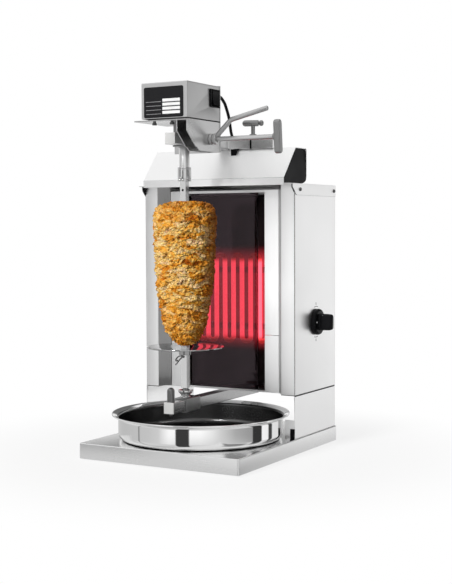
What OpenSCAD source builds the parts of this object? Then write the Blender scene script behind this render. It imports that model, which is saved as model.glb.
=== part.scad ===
// Electric skewer grill: a vertical spit that turns in front of a glass heater, over a round drip pan.
// Millimetres, +X right, -Y front, +Z up. The origin is on the floor under the middle of the base.

/* [Base] */
// Width of the base tray
base_w = 309; // [306:1:330]
// Depth of the base tray
base_d = 370; // [360:1:400]
// Height of the tray's top face above the floor
base_top = 29.5; // [22:0.5:35]
// Corner radius of the tray
base_corner_r = 3; // [1.5:0.5:12]
// Thickness of the sheet steel
sheet = 1.2; // [1:0.1:1.5]
// Height of the rubber feet under the tray
foot_h = 3; // [2:0.5:5]
// Radius of a rubber foot
foot_r = 10; // [8:0.5:14]

/* [Housing] */
// How far the base tray stands out past the housing on each side
side_margin = 3; // [2:0.5:6]
// Depth of the housing
body_d = 165; // [160:1:175]
// Height of the side panels' top edge above the floor
body_top = 467; // [460:1:480]
// Height of the bay, open at the front and the back, between the base and the heater floor
bay_h = 73.9; // [73:0.1:84]
// Width of a front column
column_w = 26.5; // [24:0.5:30]
// Width of the splayed reveal beside the glass frame
reveal_w = 14.5; // [10:0.5:18]
// Depth of the splayed reveal
reveal_d = 21; // [16:0.5:26]
// Height of the trim band along the top of each side
trim_h = 20; // [16:0.5:26]

/* [Hood] */
// Step between the hood's end and the side of the housing
hood_inset = 10.5; // [6:0.5:14]
// How far the hood stands forward of the columns
hood_overhang = 21; // [16:0.5:26]
// Height of the upright fascia at the hood's front
fascia_h = 12.2; // [8:0.2:16]
// Height of the hood over the top of the housing
hood_rise = 62.3; // [56:0.1:70]
// Depth of the sloped part
hood_slope_d = 46; // [40:0.5:52]
// Depth of the flat top
hood_flat_d = 43.5; // [34:0.5:46]

/* [Heater] */
// Width of the upright strips beside the window
strip_w = 28; // [24:0.5:32]
// Open gap between the ceramic glass and each strip
glass_gap = 15; // [8:0.5:20]
// Thickness of the ceramic glass
glass_t = 4; // [3:0.5:5]
// Radius of the heating tube
element_r = 4.75; // [3.5:0.25:5.5]
// Height of the glowing zone
zone_h = 163; // [140:1:190]
// Height of the middle of the glowing zone over the heater floor
zone_mid = 162; // [150:1:180]

/* [Arms] */
// Side of the square arm tubes
arm_s = 19; // [18:0.5:22]
// Wall of the square arm tubes
arm_wall = 2; // [1.5:0.25:2.5]
// How far the lower arm reaches in front of the spit axis
lower_reach = 54; // [50:1:64]
// How far the upper arm reaches in front of the spit axis
upper_reach = 45; // [40:1:56]
// Length of the fixed cross support
support_l = 86; // [80:1:100]
// Travel of the spit towards the glass
travel_in = 28; // [20:1:30]
// Travel of the spit away from the glass
travel_out = 20; // [14:1:22]

/* [Spit] */
// Distance from the front of the columns to the spit axis
spit_gap = 110; // [104:1:116]
// Side of the square spit
spit_s = 11; // [9:0.5:11]
// Radius of the round support disc
disc_r = 65.5; // [60:0.5:75]
// Height of the disc's upper face above the floor
disc_z = 192; // [185:1:205]
// Largest radius of the meat
meat_r = 52.5; // [45:0.5:60]
// Height of the meat
meat_h = 243; // [220:1:256]
// Radius of the drive tube over the spit
drive_tube_r = 8.75; // [8.5:0.05:9.2]
// Outer radius of the coupling sleeve
sleeve_r = 11.5; // [11:0.25:13]
// Length of the coupling sleeve
sleeve_l = 23; // [18:0.5:28]

/* [Drive head] */
// Width of the motor cover
cover_w = 88.4; // [84:0.2:96]
// Depth of the motor cover
cover_d = 104.6; // [100:0.2:112]
// Height of the motor cover
cover_h = 58.4; // [56:0.2:64]
// Radius of the clamp spindle
spindle_r = 4; // [3:0.25:5]
// Reach of the clamp spindle from the arm to its grip
spindle_reach = 155; // [150:1:162]
// Length of the T grip
grip_l = 55; // [45:1:60]
// Radius of the motor lead
lead_r = 2.6; // [2:0.1:3]

/* [Pan] */
// How far the pan's flared rim stands out past the base on each side
pan_over = -0.5; // [-4:0.5:2.5]
// Height of the pan
pan_h = 44.6; // [35:0.2:46]

/* [Control knob] */
// Radius of the knob's skirt
knob_r = 23; // [18:0.5:26]
// How far the knob stands out from the side panel
knob_reach = 32; // [26:0.5:36]
// Height of the knob's axis above the floor
knob_z = 225.5; // [215:0.5:240]

/* [Hidden] */
$fn = 48;

overrun = 1;        // how far a cut runs past a face
run_gap = 0.05;     // radial gap of a running fit
slide_gap = 0.12;   // gap on each side of a square slide
free_gap = 0.3;     // gap between pieces that only pass each other
seam_gap = 1.2;     // open seam between two panels

steel = "#d9dbdc";
dark_steel = "#8d8f91";
black = "#1d1d1f";
ceramic = "#e8e2d6";

// Housing places
body_w = base_w - 2 * side_margin;
hw = body_w / 2;
back_inset = 1;
body_back = base_d / 2 - back_inset;
body_front = body_back - body_d;
floor_z = base_top + bay_h;               // underside of the heater floor
seam_z = floor_z + sheet;                 // foot of the upper side panels
frame_y = body_front + reveal_d;          // front of the glass frame
frame_half = hw - column_w - reveal_w;    // half width of the glass frame
spit_y = body_front - spit_gap;

// Hood places
hood_w = body_w - 2 * hood_inset;
hood_front = body_front - hood_overhang;
hood_drop = 3;                            // the fascia hangs this far below the top of the sides
hood_bottom = body_top - hood_drop;
hood_top = body_top + hood_rise;
ridge_y = hood_front + hood_slope_d;      // front edge of the flat top
hood_back = ridge_y + hood_flat_d;
cap_t = 12;                               // thickness of an end cap, inside the hood's end
cap_bevel = 3;
cap_band = 5;                             // height of the bevelled band near the top of a cap
cap_r = 9;                                // height of the rounded lower back corner of a cap
cap_sweep = 20;                           // depth of the same corner
cap_top_r = 5;                            // upper back corner
cap_lift = 1;                             // gap between a cap and the top of the housing

// Arm places
lower_z = floor_z - arm_s / 2;            // the lower arm hangs under the heater floor
upper_z = hood_top + arm_s / 2;           // the upper arm lies on the hood's flat top
bar_setback = 6;                          // from the hood's ridge to the cross support's middle
bar_y = ridge_y + bar_setback;
support_gap = 3;
support_x = arm_s / 2 + support_gap;      // left end of the cross support
support_wall = 1.5;
inner_bar_s = arm_s - 2 * (support_wall + slide_gap);
kerf_x = 55;                              // middle of the clamp slot in the cross support
kerf_w = 3.6;

// Drive head places
plate_t = 2;                              // thickness of the bracket's plates
plate_rise = 27.7;
plate_z = upper_z + plate_rise;           // underside of the bracket's base plate
cover_gap = 2;                            // open seam between base plate and motor cover
cover_z = plate_z + plate_t + cover_gap;
cover_behind = 42.3;                      // reach of the motor cover behind the spit axis
cover_back = spit_y + cover_behind;
cover_front = cover_back - cover_d;
shaft_r = 4;                              // motor output shaft
shaft_clear = 2;                          // room round the shaft in the plates it passes
spindle_behind = 12;
spindle_y = spit_y + spindle_behind;
slider_wall = 2.4;
slider_s = arm_s + 2 * (slide_gap + slider_wall);
slider_front = 17;                        // reach of the upper slider before the spit axis
slider_rear = 38;                         // reach of the upper slider behind the spit axis

function arc(c, r, a0, a1, n) = [for (i = [0:n]) c + r * [cos(a0 + (a1 - a0) * i / n),
                                                          sin(a0 + (a1 - a0) * i / n)]];

// Helper shapes
module slab(lo, hi) { translate(lo) cube(hi - lo); }

module rod_z(r, p, l) { translate(p) cylinder(r = r, h = l); }

module rod_x(r, p, l) { translate(p) rotate([0, 90, 0]) cylinder(r = r, h = l); }

module rod_y(r, p, l) { translate(p) rotate([-90, 0, 0]) cylinder(r = r, h = l); }

module strut(p, q, r) {
  d = q - p;
  translate(p) rotate([0, acos(d.z / norm(d)), atan2(d.y, d.x)]) cylinder(r = r, h = norm(d));
}

// A round tube swept along points, one ring of corners at each point
tube_sides = 10;
first_side = [0.31, 0.52, 0.8];           // any direction that no wire starts along

function unit(v) = v / norm(v);

function heading(p, i) = unit(p[min(i + 1, len(p) - 1)] - p[max(i - 1, 0)]);

function square_to(u, t) = unit(u - (u * t) * t);

function ring_sides(p) = [
  for (i = 0, u = square_to(first_side, heading(p, 0)); i < len(p);
       i = i + 1, u = i < len(p) ? square_to(u, heading(p, i)) : u) u
];

function curve_point(a, b, c, d, t) =
  0.5 * (2 * b + (c - a) * t + (2 * a - 5 * b + 4 * c - d) * t * t + (3 * b - a - 3 * c + d) * t * t * t);

function curve(p, steps) = let (n = len(p) - 1) concat([
  for (i = [0:n - 1], k = [0:steps - 1])
    curve_point(p[max(i - 1, 0)], p[i], p[i + 1], p[min(i + 2, n)], k / steps)
], [p[n]]);

module tube(p, r) {
  n = tube_sides;
  last = len(p) - 1;
  u = ring_sides(p);
  corners = [
    for (i = [0:last], k = [0:n - 1]) let (a = 360 * k / n)
      p[i] + r * (cos(a) * u[i] + sin(a) * cross(heading(p, i), u[i]))
  ];
  walls = [
    for (i = [0:last - 1], k = [0:n - 1], half = [0, 1]) let (j = (k + 1) % n)
      half == 0 ? [i * n + k, (i + 1) * n + k, (i + 1) * n + j] : [i * n + k, (i + 1) * n + j, i * n + j]
  ];
  polyhedron(points = corners, faces = concat(
    [[for (k = [0:n - 1]) k]], walls, [[for (k = [n - 1:-1:0]) last * n + k]]
  ));
}

module round_rect(w, d, r) {
  square([w - 2 * r, d], center = true);
  square([w, d - 2 * r], center = true);
  for (x = [-1, 1], y = [-1, 1]) translate([x * (w / 2 - r), y * (d / 2 - r)]) circle(r = r);
}

// A prism along X of an outline given in Y and Z
module prism_x(x0, x1) {
  translate([x0, 0, 0]) rotate([90, 0, 90]) linear_extrude(height = x1 - x0) children();
}

module square_tube_y(outer, inner, y0, y1, z) {
  difference() {
    slab([-outer / 2, y0, z - outer / 2], [outer / 2, y1, z + outer / 2]);
    slab([-inner / 2, y0 - overrun, z - inner / 2], [inner / 2, y1 + overrun, z + inner / 2]);
  }
}

// Base
flange_w = 44;                            // width of the tray's inward bottom flange
foot_inset = 32;
foot_stem_r = 3;
foot_head_r = 6;
foot_head_h = 2;

module foot_places() {
  for (x = [-1, 1], y = [-1, 1]) {
    translate([x * (base_w / 2 - foot_inset), y * (base_d / 2 - foot_inset), 0]) children();
  }
}

module base_tray() {
  color(steel) difference() {
    translate([0, 0, foot_h]) linear_extrude(height = base_top - foot_h)
      round_rect(base_w, base_d, base_corner_r);
    translate([0, 0, foot_h + sheet]) linear_extrude(height = base_top - foot_h - 2 * sheet)
      round_rect(base_w - 2 * sheet, base_d - 2 * sheet, base_corner_r - sheet);
    translate([0, 0, foot_h - overrun]) linear_extrude(height = sheet + 2 * overrun)
      square([base_w - 2 * flange_w, base_d - 2 * flange_w], center = true);
    foot_places() rod_z(foot_stem_r, [0, 0, foot_h - overrun], sheet + 2 * overrun);
  }
}

module rubber_feet() {
  color(black) foot_places() {
    cylinder(r = foot_r, h = foot_h);
    cylinder(r = foot_stem_r, h = foot_h + sheet + foot_head_h);
    rod_z(foot_head_r, [0, 0, foot_h + sheet], foot_head_h);
  }
}

// Lower side panels with a short front bracket and a foot flange
bracket_share = 0.1254;                   // width of the front bracket, as a share of half the housing
bracket_w = bracket_share * hw;
bracket_h = 32;
foot_flange_w = 11;
lap_h = 8;                                // lap behind the seam, on which the heater floor stands

module lower_panel() {
  slab([hw - sheet, body_front, base_top], [hw, body_back, floor_z - seam_gap]);
  slab([hw - 2 * sheet, body_front + sheet, floor_z - lap_h], [hw - sheet, body_back, floor_z]);
  slab([hw - bracket_w, body_front, base_top], [hw - sheet, body_front + sheet, base_top + bracket_h]);
  slab([hw - foot_flange_w, body_front + sheet, base_top],
       [hw - sheet, body_back, base_top + sheet]);
}

module lower_panel_right() { color(steel) lower_panel(); }

module lower_panel_left() { color(steel) mirror([1, 0, 0]) lower_panel(); }

pad_w = 8.5;
pad_h = 17;
pad_t = 2;

module bumper_pads() {
  color(black) for (side = [0, 1]) mirror([side, 0, 0]) {
    slab([hw - pad_w, body_front - pad_t, base_top], [hw, body_front, base_top + pad_h]);
    prism_x(hw - pad_t, hw) polygon([
      [trim_front, body_top - sheet],
      [trim_front, body_top - trim_h + trim_chamfer],
      [body_front, body_top - trim_h + trim_chamfer + trim_front - body_front],
      [body_front, body_top - sheet]
    ]);
  }
}

// Upper side panels: side, front column and splayed reveal are one folded sheet
screw_r = 1.6;
screw_head_r = 3.4;
screw_head_h = 1.8;
screw_slot = 0.9;
screw_slot_depth = 1;
screw_l = 8;
trim_reach = 9;                           // how far the trims' tips stand out before the columns
trim_front = body_front - trim_reach;
trim_screw_front = 19;
trim_screw_rear = 8;
trim_screw_y = [body_front + trim_screw_front, body_back - trim_screw_rear];
trim_screw_z = body_top - trim_h / 2;
knob_share = 0.51;                        // place of the knob along the side panel's depth
knob_y = body_front + knob_share * body_d;
bush_r = 5;

module side_panel_outline() {
  lean = reveal_w / reveal_d;
  polygon([
    [hw, body_back - sheet],
    [hw, body_front],
    [hw - column_w, body_front],
    [frame_half, frame_y],
    [frame_half + sheet, frame_y],
    [hw - column_w + sheet * (1 - lean), body_front + sheet],
    [hw - sheet, body_front + sheet],
    [hw - sheet, body_back - sheet]
  ]);
}

module side_panel() {
  difference() {
    translate([0, 0, seam_z]) linear_extrude(height = body_top - sheet - seam_z) side_panel_outline();
    for (y = trim_screw_y) rod_x(screw_r, [hw - sheet - overrun, y, trim_screw_z], sheet + 2 * overrun);
  }
}

module side_panel_right() {
  color(steel) difference() {
    side_panel();
    rod_x(bush_r, [hw - sheet - overrun, knob_y, knob_z], sheet + 2 * overrun);
  }
}

module side_panel_left() { color(steel) mirror([1, 0, 0]) side_panel(); }

trim_chamfer = 13;

module side_trim() {
  difference() {
    prism_x(hw, hw + sheet) polygon([
      [trim_front, body_top],
      [trim_front, body_top - trim_h + trim_chamfer],
      [trim_front + trim_chamfer, body_top - trim_h],
      [body_back, body_top - trim_h],
      [body_back, body_top]
    ]);
    for (y = trim_screw_y) rod_x(screw_r, [hw - overrun, y, trim_screw_z], sheet + 2 * overrun);
  }
}

module side_trim_right() { color(steel) side_trim(); }

module side_trim_left() { color(steel) mirror([1, 0, 0]) side_trim(); }

// A cross-head screw whose head stands on z = 0 and whose shank points down
module cross_head_screw() {
  difference() {
    union() {
      cylinder(r1 = screw_head_r, r2 = screw_head_r * 0.8, h = screw_head_h);
      rod_z(screw_r, [0, 0, -screw_l], screw_l);
    }
    for (a = [0, 90]) rotate([0, 0, a])
      slab([-screw_head_r / 2, -screw_slot / 2, screw_head_h - screw_slot_depth],
           [screw_head_r / 2, screw_slot / 2, screw_head_h + overrun]);
  }
}

back_screw_inset = 10;
back_screw_shares = [0.06, 0.5, 0.94];

function back_z(share) = floor_z + share * (body_top - floor_z);

module back_screw_places() {
  for (x = [-1, 1], share = back_screw_shares)
    translate([x * (hw - back_screw_inset), body_back, back_z(share)]) rotate([-90, 0, 0])
      children();
}

module panel_screws() {
  color(dark_steel) {
    for (side = [0, 1], y = trim_screw_y) mirror([side, 0, 0])
      translate([hw + sheet, y, trim_screw_z]) rotate([0, 90, 0]) cross_head_screw();
    back_screw_places() cross_head_screw();
  }
}

// Back panel with vents and the inlet hole
vent_count = 9;
vent_w = 5;
vent_l = 46;
vent_pitch = 15;
vent_shares = [0.35, 0.8];
gland_inset = 46.5;                        // from the body's left side to the cable gland
gland_x = gland_inset - hw;
gland_rise = 30;
gland_z = seam_z + gland_rise;
gland_r = 9;

module back_panel() {
  color(steel) difference() {
    slab([-hw, body_back - sheet, floor_z], [hw, body_back, body_top]);
    for (i = [0:vent_count - 1], share = vent_shares)
      translate([(i - (vent_count - 1) / 2) * vent_pitch, body_back - sheet - overrun,
                 back_z(share)])
        slab([-vent_w / 2, 0, 0], [vent_w / 2, sheet + 2 * overrun, vent_l]);
    rod_y(gland_r, [gland_x, body_back - sheet - overrun, gland_z], sheet + 2 * overrun);
    back_screw_places() rod_z(screw_r, [0, 0, -sheet - overrun], sheet + 2 * overrun);
  }
}

module heater_floor() {
  color(steel) difference() {
    slab([-hw, body_front, floor_z], [hw, body_back - sheet, seam_z]);
    slab([-frame_half - reveal_w, body_front - overrun, floor_z - overrun],
         [frame_half + reveal_w, frame_y, seam_z + overrun]);
  }
}

// The top plate reaches forward under the hood
module top_plate() {
  color(steel) slab([-hw, hood_front + sheet, body_top - sheet], [hw, body_back - sheet, body_top]);
}

// Hood
grommet_x = 3;
grommet_setback = 28.5;
grommet_y = ridge_y + grommet_setback;
grommet_r = 5;
grommet_t = 4;
hood_lean = hood_slope_d / (hood_rise + hood_drop - fascia_h);

module hood() {
  color(steel) difference() {
    prism_x(-hood_w / 2, hood_w / 2) polygon([
      [hood_front, hood_bottom],
      [hood_front, hood_bottom + fascia_h],
      [ridge_y, hood_top],
      [hood_back, hood_top],
      [hood_back, body_top],
      [hood_back - sheet, body_top],
      [hood_back - sheet, hood_top - sheet],
      [ridge_y + sheet * (1 - hood_lean), hood_top - sheet],
      [hood_front + sheet, hood_bottom + fascia_h - sheet / 2],
      [hood_front + sheet, hood_bottom]
    ]);
    rod_z(grommet_r, [grommet_x, grommet_y, hood_top - sheet - overrun], sheet + 2 * overrun);
  }
}

// The cap's side outline up to a height, inside the bent sheet
module cap_outline(low, high) {
  front = hood_front + sheet + free_gap;
  back = hood_back - sheet;
  knee = hood_bottom + fascia_h - sheet / 2;
  polygon(concat(
    low > knee ? [[front + (low - knee) * hood_lean, low]] : [[front, low], [front, knee]],
    [[front + (high - knee) * hood_lean, high]],
    low > knee ? [[back - cap_top_r, high], [back - cap_top_r / 4, high - cap_top_r / 4],
                  [back, high - cap_top_r], [back, low]]
               : [[back, high], for (a = [0:-15:-90])
                    [back - cap_sweep * (1 - cos(a)), low + cap_r * (1 + sin(a))]]
  ));
}

module hood_cap() {
  low = body_top + cap_lift;
  high = hood_top - sheet;
  band_low = hood_top - 2 * cap_band;
  color(black) {
    prism_x(hood_w / 2 - cap_t, hood_w / 2) cap_outline(low, band_low);
    prism_x(hood_w / 2 - cap_t, hood_w / 2 - cap_bevel) cap_outline(band_low, high);
  }
}

module hood_cap_right() { hood_cap(); }

module hood_cap_left() { mirror([1, 0, 0]) hood_cap(); }

// Glass frame and glass
frame_drop = 9.5;
frame_top = body_top - frame_drop;
window_w = 2 * (frame_half - strip_w);
glass_w = window_w - 2 * glass_gap;
rail_top = 4.5;
rail_bottom = 2;
frame_return = 15;
glass_lap = 1.2;
glass_back = frame_y + sheet + glass_t;

module glass_frame() {
  color(steel) {
    difference() {
      slab([-frame_half, frame_y, seam_z], [frame_half, frame_y + sheet, frame_top]);
      slab([-window_w / 2, frame_y - overrun, seam_z + rail_bottom],
           [window_w / 2, frame_y + sheet + overrun, frame_top - rail_top]);
    }
    for (side = [0, 1]) mirror([side, 0, 0])
      slab([frame_half - sheet, frame_y + sheet, seam_z],
           [frame_half, frame_y + sheet + frame_return, frame_top]);
  }
}

module ceramic_glass() {
  color("#3a2c34", 0.6) slab([-glass_w / 2, frame_y + sheet, seam_z + rail_bottom - glass_lap],
                             [glass_w / 2, glass_back, frame_top - rail_top + glass_lap]);
}

clip_w = 16;
clip_h = 7;
clip_t = 1.5;

module glass_clips() {
  bottom = seam_z + rail_bottom - glass_lap;
  top = frame_top - rail_top + glass_lap;
  color(dark_steel) for (side = [0, 1]) mirror([side, 0, 0]) translate([glass_w / 2 - clip_w, 0, 0]) {
    slab([0, glass_back, seam_z], [clip_w, glass_back + clip_t, seam_z + clip_h]);
    slab([0, glass_back, frame_top - clip_h], [clip_w, glass_back + clip_t, frame_top]);
    slab([0, frame_y + sheet, top], [clip_w, glass_back, frame_top]);
    if (bottom > seam_z) slab([0, frame_y + sheet, seam_z], [clip_w, glass_back, bottom]);
  }
}

// Heating element: upright legs joined in turn at the top and at the bottom
leg_count = 8;
pitch_share = 0.1289;                     // distance between neighbouring legs, as a share of the glass
leg_pitch = round(10 * pitch_share * glass_w) / 10;
element_setback = 22;                     // from the frame's front to the element's middle
element_y = frame_y + element_setback;
zone_low = seam_z + zone_mid - zone_h / 2;
zone_high = zone_low + zone_h;
bend_r = leg_pitch / 2;
box_inset = 12.5;
box_half = frame_half - box_inset;
box_t = 1;
box_behind = 18;
box_back = element_y + box_behind;
box_foot_gap = 4;
box_head_gap = 8;
box_low = seam_z + box_foot_gap;
box_high = frame_top - box_head_gap;
board_t = 20;
terminal_y = box_back + box_t + board_t;

elbow_clear = 2;

function leg_x(i) = (i - (leg_count - 1) / 2) * leg_pitch;

module half_bend() {
  rotate([90, 0, 0]) rotate_extrude(angle = 180) translate([bend_r, 0]) circle(r = element_r);
}

module end_leads(r, y0) {
  for (i = [0, leg_count - 1]) rod_y(r, [leg_x(i), y0, zone_low + element_r], terminal_y - y0);
}

module heating_element() {
  low = zone_low + bend_r + element_r;
  high = zone_high - bend_r - element_r;
  turn_r = element_r + elbow_clear;
  color("#e6414b") {
    for (i = [0:leg_count - 1]) {
      ends = i == 0 || i == leg_count - 1;
      foot = ends ? zone_low + element_r + turn_r : low;
      rod_z(element_r, [leg_x(i), element_y, foot], high - foot);
      if (ends) translate([leg_x(i), element_y + turn_r, foot]) rotate([0, 90, 0]) rotate([0, 0, -90])
        rotate_extrude(angle = 90) translate([turn_r, 0]) circle(r = element_r);
    }
    for (i = [0:2:leg_count - 2]) translate([leg_x(i) + bend_r, element_y, high]) half_bend();
    for (i = [1:2:leg_count - 3])
      translate([leg_x(i) + bend_r, element_y, low]) mirror([0, 0, 1]) half_bend();
    end_leads(element_r, element_y + turn_r);
  }
}

holder_h = 10;
holder_inset = 26;
holder_end = 8;

module element_holders() {
  reach = leg_x(leg_count - 1) + holder_end;
  color(ceramic) for (z = [zone_low + holder_inset, zone_high - holder_inset - holder_h])
    difference() {
      slab([-reach, element_y, z], [reach, box_back, z + holder_h]);
      for (i = [0:leg_count - 1])
        rod_z(element_r + run_gap, [leg_x(i), element_y, z - overrun], holder_h + 2 * overrun);
    }
}

module reflector_box() {
  front = frame_y + sheet;
  color(steel) difference() {
    slab([-box_half, front, box_low], [box_half, box_back + box_t, box_high]);
    slab([-box_half + box_t, front - overrun, box_low + box_t],
         [box_half - box_t, box_back, box_high - box_t]);
    slab([-glass_w / 2, front - overrun, box_low - overrun],
         [glass_w / 2, glass_back + clip_t, box_low + box_t + overrun]);
    slab([-glass_w / 2, front - overrun, box_high - box_t - overrun],
         [glass_w / 2, glass_back + clip_t, box_high + overrun]);
    end_leads(element_r + free_gap, element_y);
  }
}

module insulation_board() {
  color("#efe9dc") difference() {
    slab([-box_half, box_back + box_t, box_low], [box_half, terminal_y, box_high]);
    end_leads(element_r + free_gap, element_y);
  }
}

terminal_over = 12;                       // reach of the block past the outer legs
terminal_w = leg_pitch * (leg_count - 1) + 2 * terminal_over;
terminal_h = 18;
terminal_d = 12;

module terminal_block() {
  z = zone_low + element_r;
  color(ceramic) slab([-terminal_w / 2, terminal_y, z - terminal_h / 2],
                      [terminal_w / 2, terminal_y + terminal_d, z + terminal_h / 2]);
}

// Energy regulator behind the knob
regulator_l = 34;
regulator_s = 42;
shaft_bore_r = 3;

module energy_regulator() {
  inner = hw - sheet;
  color("#2c2c30") difference() {
    union() {
      slab([inner - regulator_l, knob_y - regulator_s / 2, knob_z - regulator_s / 2],
           [inner, knob_y + regulator_s / 2, knob_z + regulator_s / 2]);
      rod_x(bush_r, [inner, knob_y, knob_z], sheet);
    }
    rod_x(shaft_bore_r + run_gap, [inner - regulator_l / 2, knob_y, knob_z], regulator_l);
  }
}

// Wires from the inlet to the regulator, and on to the terminal block
wire_r = 2;
wire_inset = 18;
wire_back = body_back - wire_inset;
gland_in = 10;
wire_steps = 3;
wire_straight = 2.5;                      // two straight steps of this length at a wire's ends
wire_rise = 9;
wire_sweep = 45;
wire_step = 22;
wire_hang = 14;                           // how far below the knob's axis the last two wires end

// Three points in line, so that a wire leaves or enters a face squarely
function squarely(p, d) = [p, p + wire_straight * d, p + 2 * wire_straight * d];

function backwards(list) = [for (i = [len(list) - 1:-1:0]) list[i]];

module internal_wiring() {
  block_top = zone_low + element_r + terminal_h / 2;
  mid_y = terminal_y + terminal_d / 2;
  reg_x = hw - sheet - regulator_l;
  behind = knob_y + regulator_s / 4;
  inlet = concat(
    squarely([gland_x, body_back - gland_in, gland_z], [0, -1, 0]),
    [[gland_x, wire_back, gland_z + wire_rise],
     [gland_x + wire_rise, wire_back, gland_z + 3 * wire_rise],
     [gland_x + wire_sweep, wire_back, knob_z - wire_sweep],
     [reg_x - wire_sweep, wire_back, knob_z - wire_step],
     [reg_x - wire_step, wire_back - wire_inset, knob_z]],
    backwards(squarely([reg_x, behind, knob_z + wire_rise], [-1, 0, 0]))
  );
  left = concat(
    squarely([-terminal_w / 4, mid_y, block_top], [0, 0, 1]),
    [[-terminal_w / 5, mid_y + wire_rise, block_top + wire_step],
     [0, mid_y + terminal_over, block_top + wire_step + terminal_over],
     [reg_x - wire_step - wire_rise, mid_y + wire_rise, knob_z - wire_hang]],
    backwards(squarely([reg_x, behind, knob_z - wire_hang / 2], [-1, 0, 0]))
  );
  right = concat(
    squarely([terminal_w / 4, mid_y, block_top], [0, 0, 1]),
    [[terminal_w / 3, mid_y, block_top + wire_step], [reg_x - wire_step, mid_y, knob_z - wire_step]],
    backwards(squarely([reg_x, knob_y, knob_z - wire_hang], [-1, 0, 0]))
  );
  color("#b5342c") for (path = [inlet, left, right]) tube(curve(path, wire_steps), wire_r);
}

gland_bore_r = 4;
gland_flange_r = 12;
gland_flange_t = 3;
gland_nose = 9;

module cable_gland() {
  color(black) difference() {
    union() {
      rod_y(gland_r, [gland_x, body_back - gland_in, gland_z], gland_in);
      rod_y(gland_flange_r, [gland_x, body_back, gland_z], gland_flange_t);
      translate([gland_x, body_back + gland_flange_t, gland_z]) rotate([-90, 0, 0])
        cylinder(r1 = gland_r, r2 = gland_bore_r + gland_flange_t, h = gland_nose);
      rod_y(gland_flange_r, [gland_x, body_back - sheet - gland_flange_t, gland_z], gland_flange_t);
    }
    rod_y(gland_bore_r, [gland_x, body_back - gland_in / 2, gland_z],
          gland_in + gland_flange_t + gland_nose);
  }
}

// Arms
lower_front = spit_y - lower_reach;
upper_front = spit_y - upper_reach;
arm_rear_gap = 30;
lower_rear = body_back - arm_rear_gap;
cap_plate = 1.5;
cap_plug = 8;
stop_inset = 7;
stop_y = lower_front + stop_inset;
stop_r = 3;
slot_clear = 0.4;
slot_half = shaft_r + slot_clear;

module lower_arm() {
  color(steel) difference() {
    square_tube_y(arm_s, arm_s - 2 * arm_wall, lower_front + cap_plate, lower_rear, lower_z);
    rod_z(stop_r + run_gap, [0, stop_y, lower_z - arm_s], 2 * arm_s);
  }
}

module upper_arm() {
  inner = arm_s - 2 * arm_wall;
  rear = bar_y + arm_s / 2;
  color(steel) {
    difference() {
      slab([-arm_s / 2, upper_front + cap_plate, upper_z - arm_s / 2],
           [arm_s / 2, rear, upper_z + arm_s / 2]);
      slab([-inner / 2, upper_front, upper_z - inner / 2], [inner / 2, bar_y - arm_s / 2,
           upper_z + inner / 2]);
      slab([-slot_half, spit_y - travel_out - slot_half, upper_z - arm_s],
           [slot_half, spit_y + travel_in + slot_half, upper_z + arm_s]);
    }
    slab([arm_s / 2, bar_y - inner_bar_s / 2, upper_z - inner_bar_s / 2],
         [support_x + support_l - support_wall - free_gap, bar_y + inner_bar_s / 2,
          upper_z + inner_bar_s / 2]);
  }
}

module end_cap(y, z, cut) {
  inner = arm_s - 2 * arm_wall;
  slab([-arm_s / 2, y, z - arm_s / 2], [arm_s / 2, y + cap_plate, z + arm_s / 2]);
  difference() {
    slab([-inner / 2, y + cap_plate, z - inner / 2], [inner / 2, y + cap_plate + cap_plug, z + inner / 2]);
    if (cut) rod_z(stop_r + run_gap, [0, stop_y, z - arm_s], 2 * arm_s);
  }
}

module arm_end_caps() {
  color("#f2f2f0") {
    end_cap(lower_front, lower_z, true);
    end_cap(upper_front, upper_z, false);
  }
}

module support_tube() {
  inner = arm_s - 2 * support_wall;
  color(steel) difference() {
    slab([support_x, bar_y - arm_s / 2, upper_z - arm_s / 2],
         [support_x + support_l, bar_y + arm_s / 2, upper_z + arm_s / 2]);
    slab([support_x - overrun, bar_y - inner / 2, upper_z - inner / 2],
         [support_x + support_l - support_wall, bar_y + inner / 2, upper_z + inner / 2]);
    slab([kerf_x - kerf_w / 2, bar_y - arm_s, upper_z - arm_s],
         [kerf_x + kerf_w / 2, bar_y - inner / 2 + overrun, upper_z + arm_s]);
    rod_z(t_stem_r + run_gap, [kerf_x, bar_y, upper_z], arm_s);
  }
}

module clamp_pad() {
  color(black) slab([kerf_x - kerf_w / 2, bar_y - arm_s / 2 + slide_gap, upper_z - arm_s / 2],
                    [kerf_x + kerf_w / 2, bar_y - inner_bar_s / 2, upper_z + arm_s / 2]);
}

wedge_x = 19;
wedge_w = 11;
wedge_d = 10;

module bar_wedge() {
  slope = (hood_top - hood_bottom - fascia_h) / hood_slope_d;
  color(black) prism_x(wedge_x, wedge_x + wedge_w) polygon([
    [ridge_y, hood_top], [ridge_y - wedge_d, hood_top], [ridge_y - wedge_d, hood_top - wedge_d * slope]
  ]);
}

module lead_grommet() {
  color(black) translate([grommet_x, grommet_y, hood_top]) difference() {
    union() {
      rod_z(grommet_r, [0, 0, -grommet_t], grommet_t);
      cylinder(r1 = grommet_r + grommet_t / 2, r2 = grommet_r, h = grommet_t);
    }
    rod_z(lead_r, [0, 0, -grommet_t - overrun], 3 * grommet_t);
  }
}

// Stop screw that keeps the lower slider on its arm
stop_grip_r = 6.3;
stop_grip_h = 24;
stop_tip = 7;
stop_clear = 2;

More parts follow.
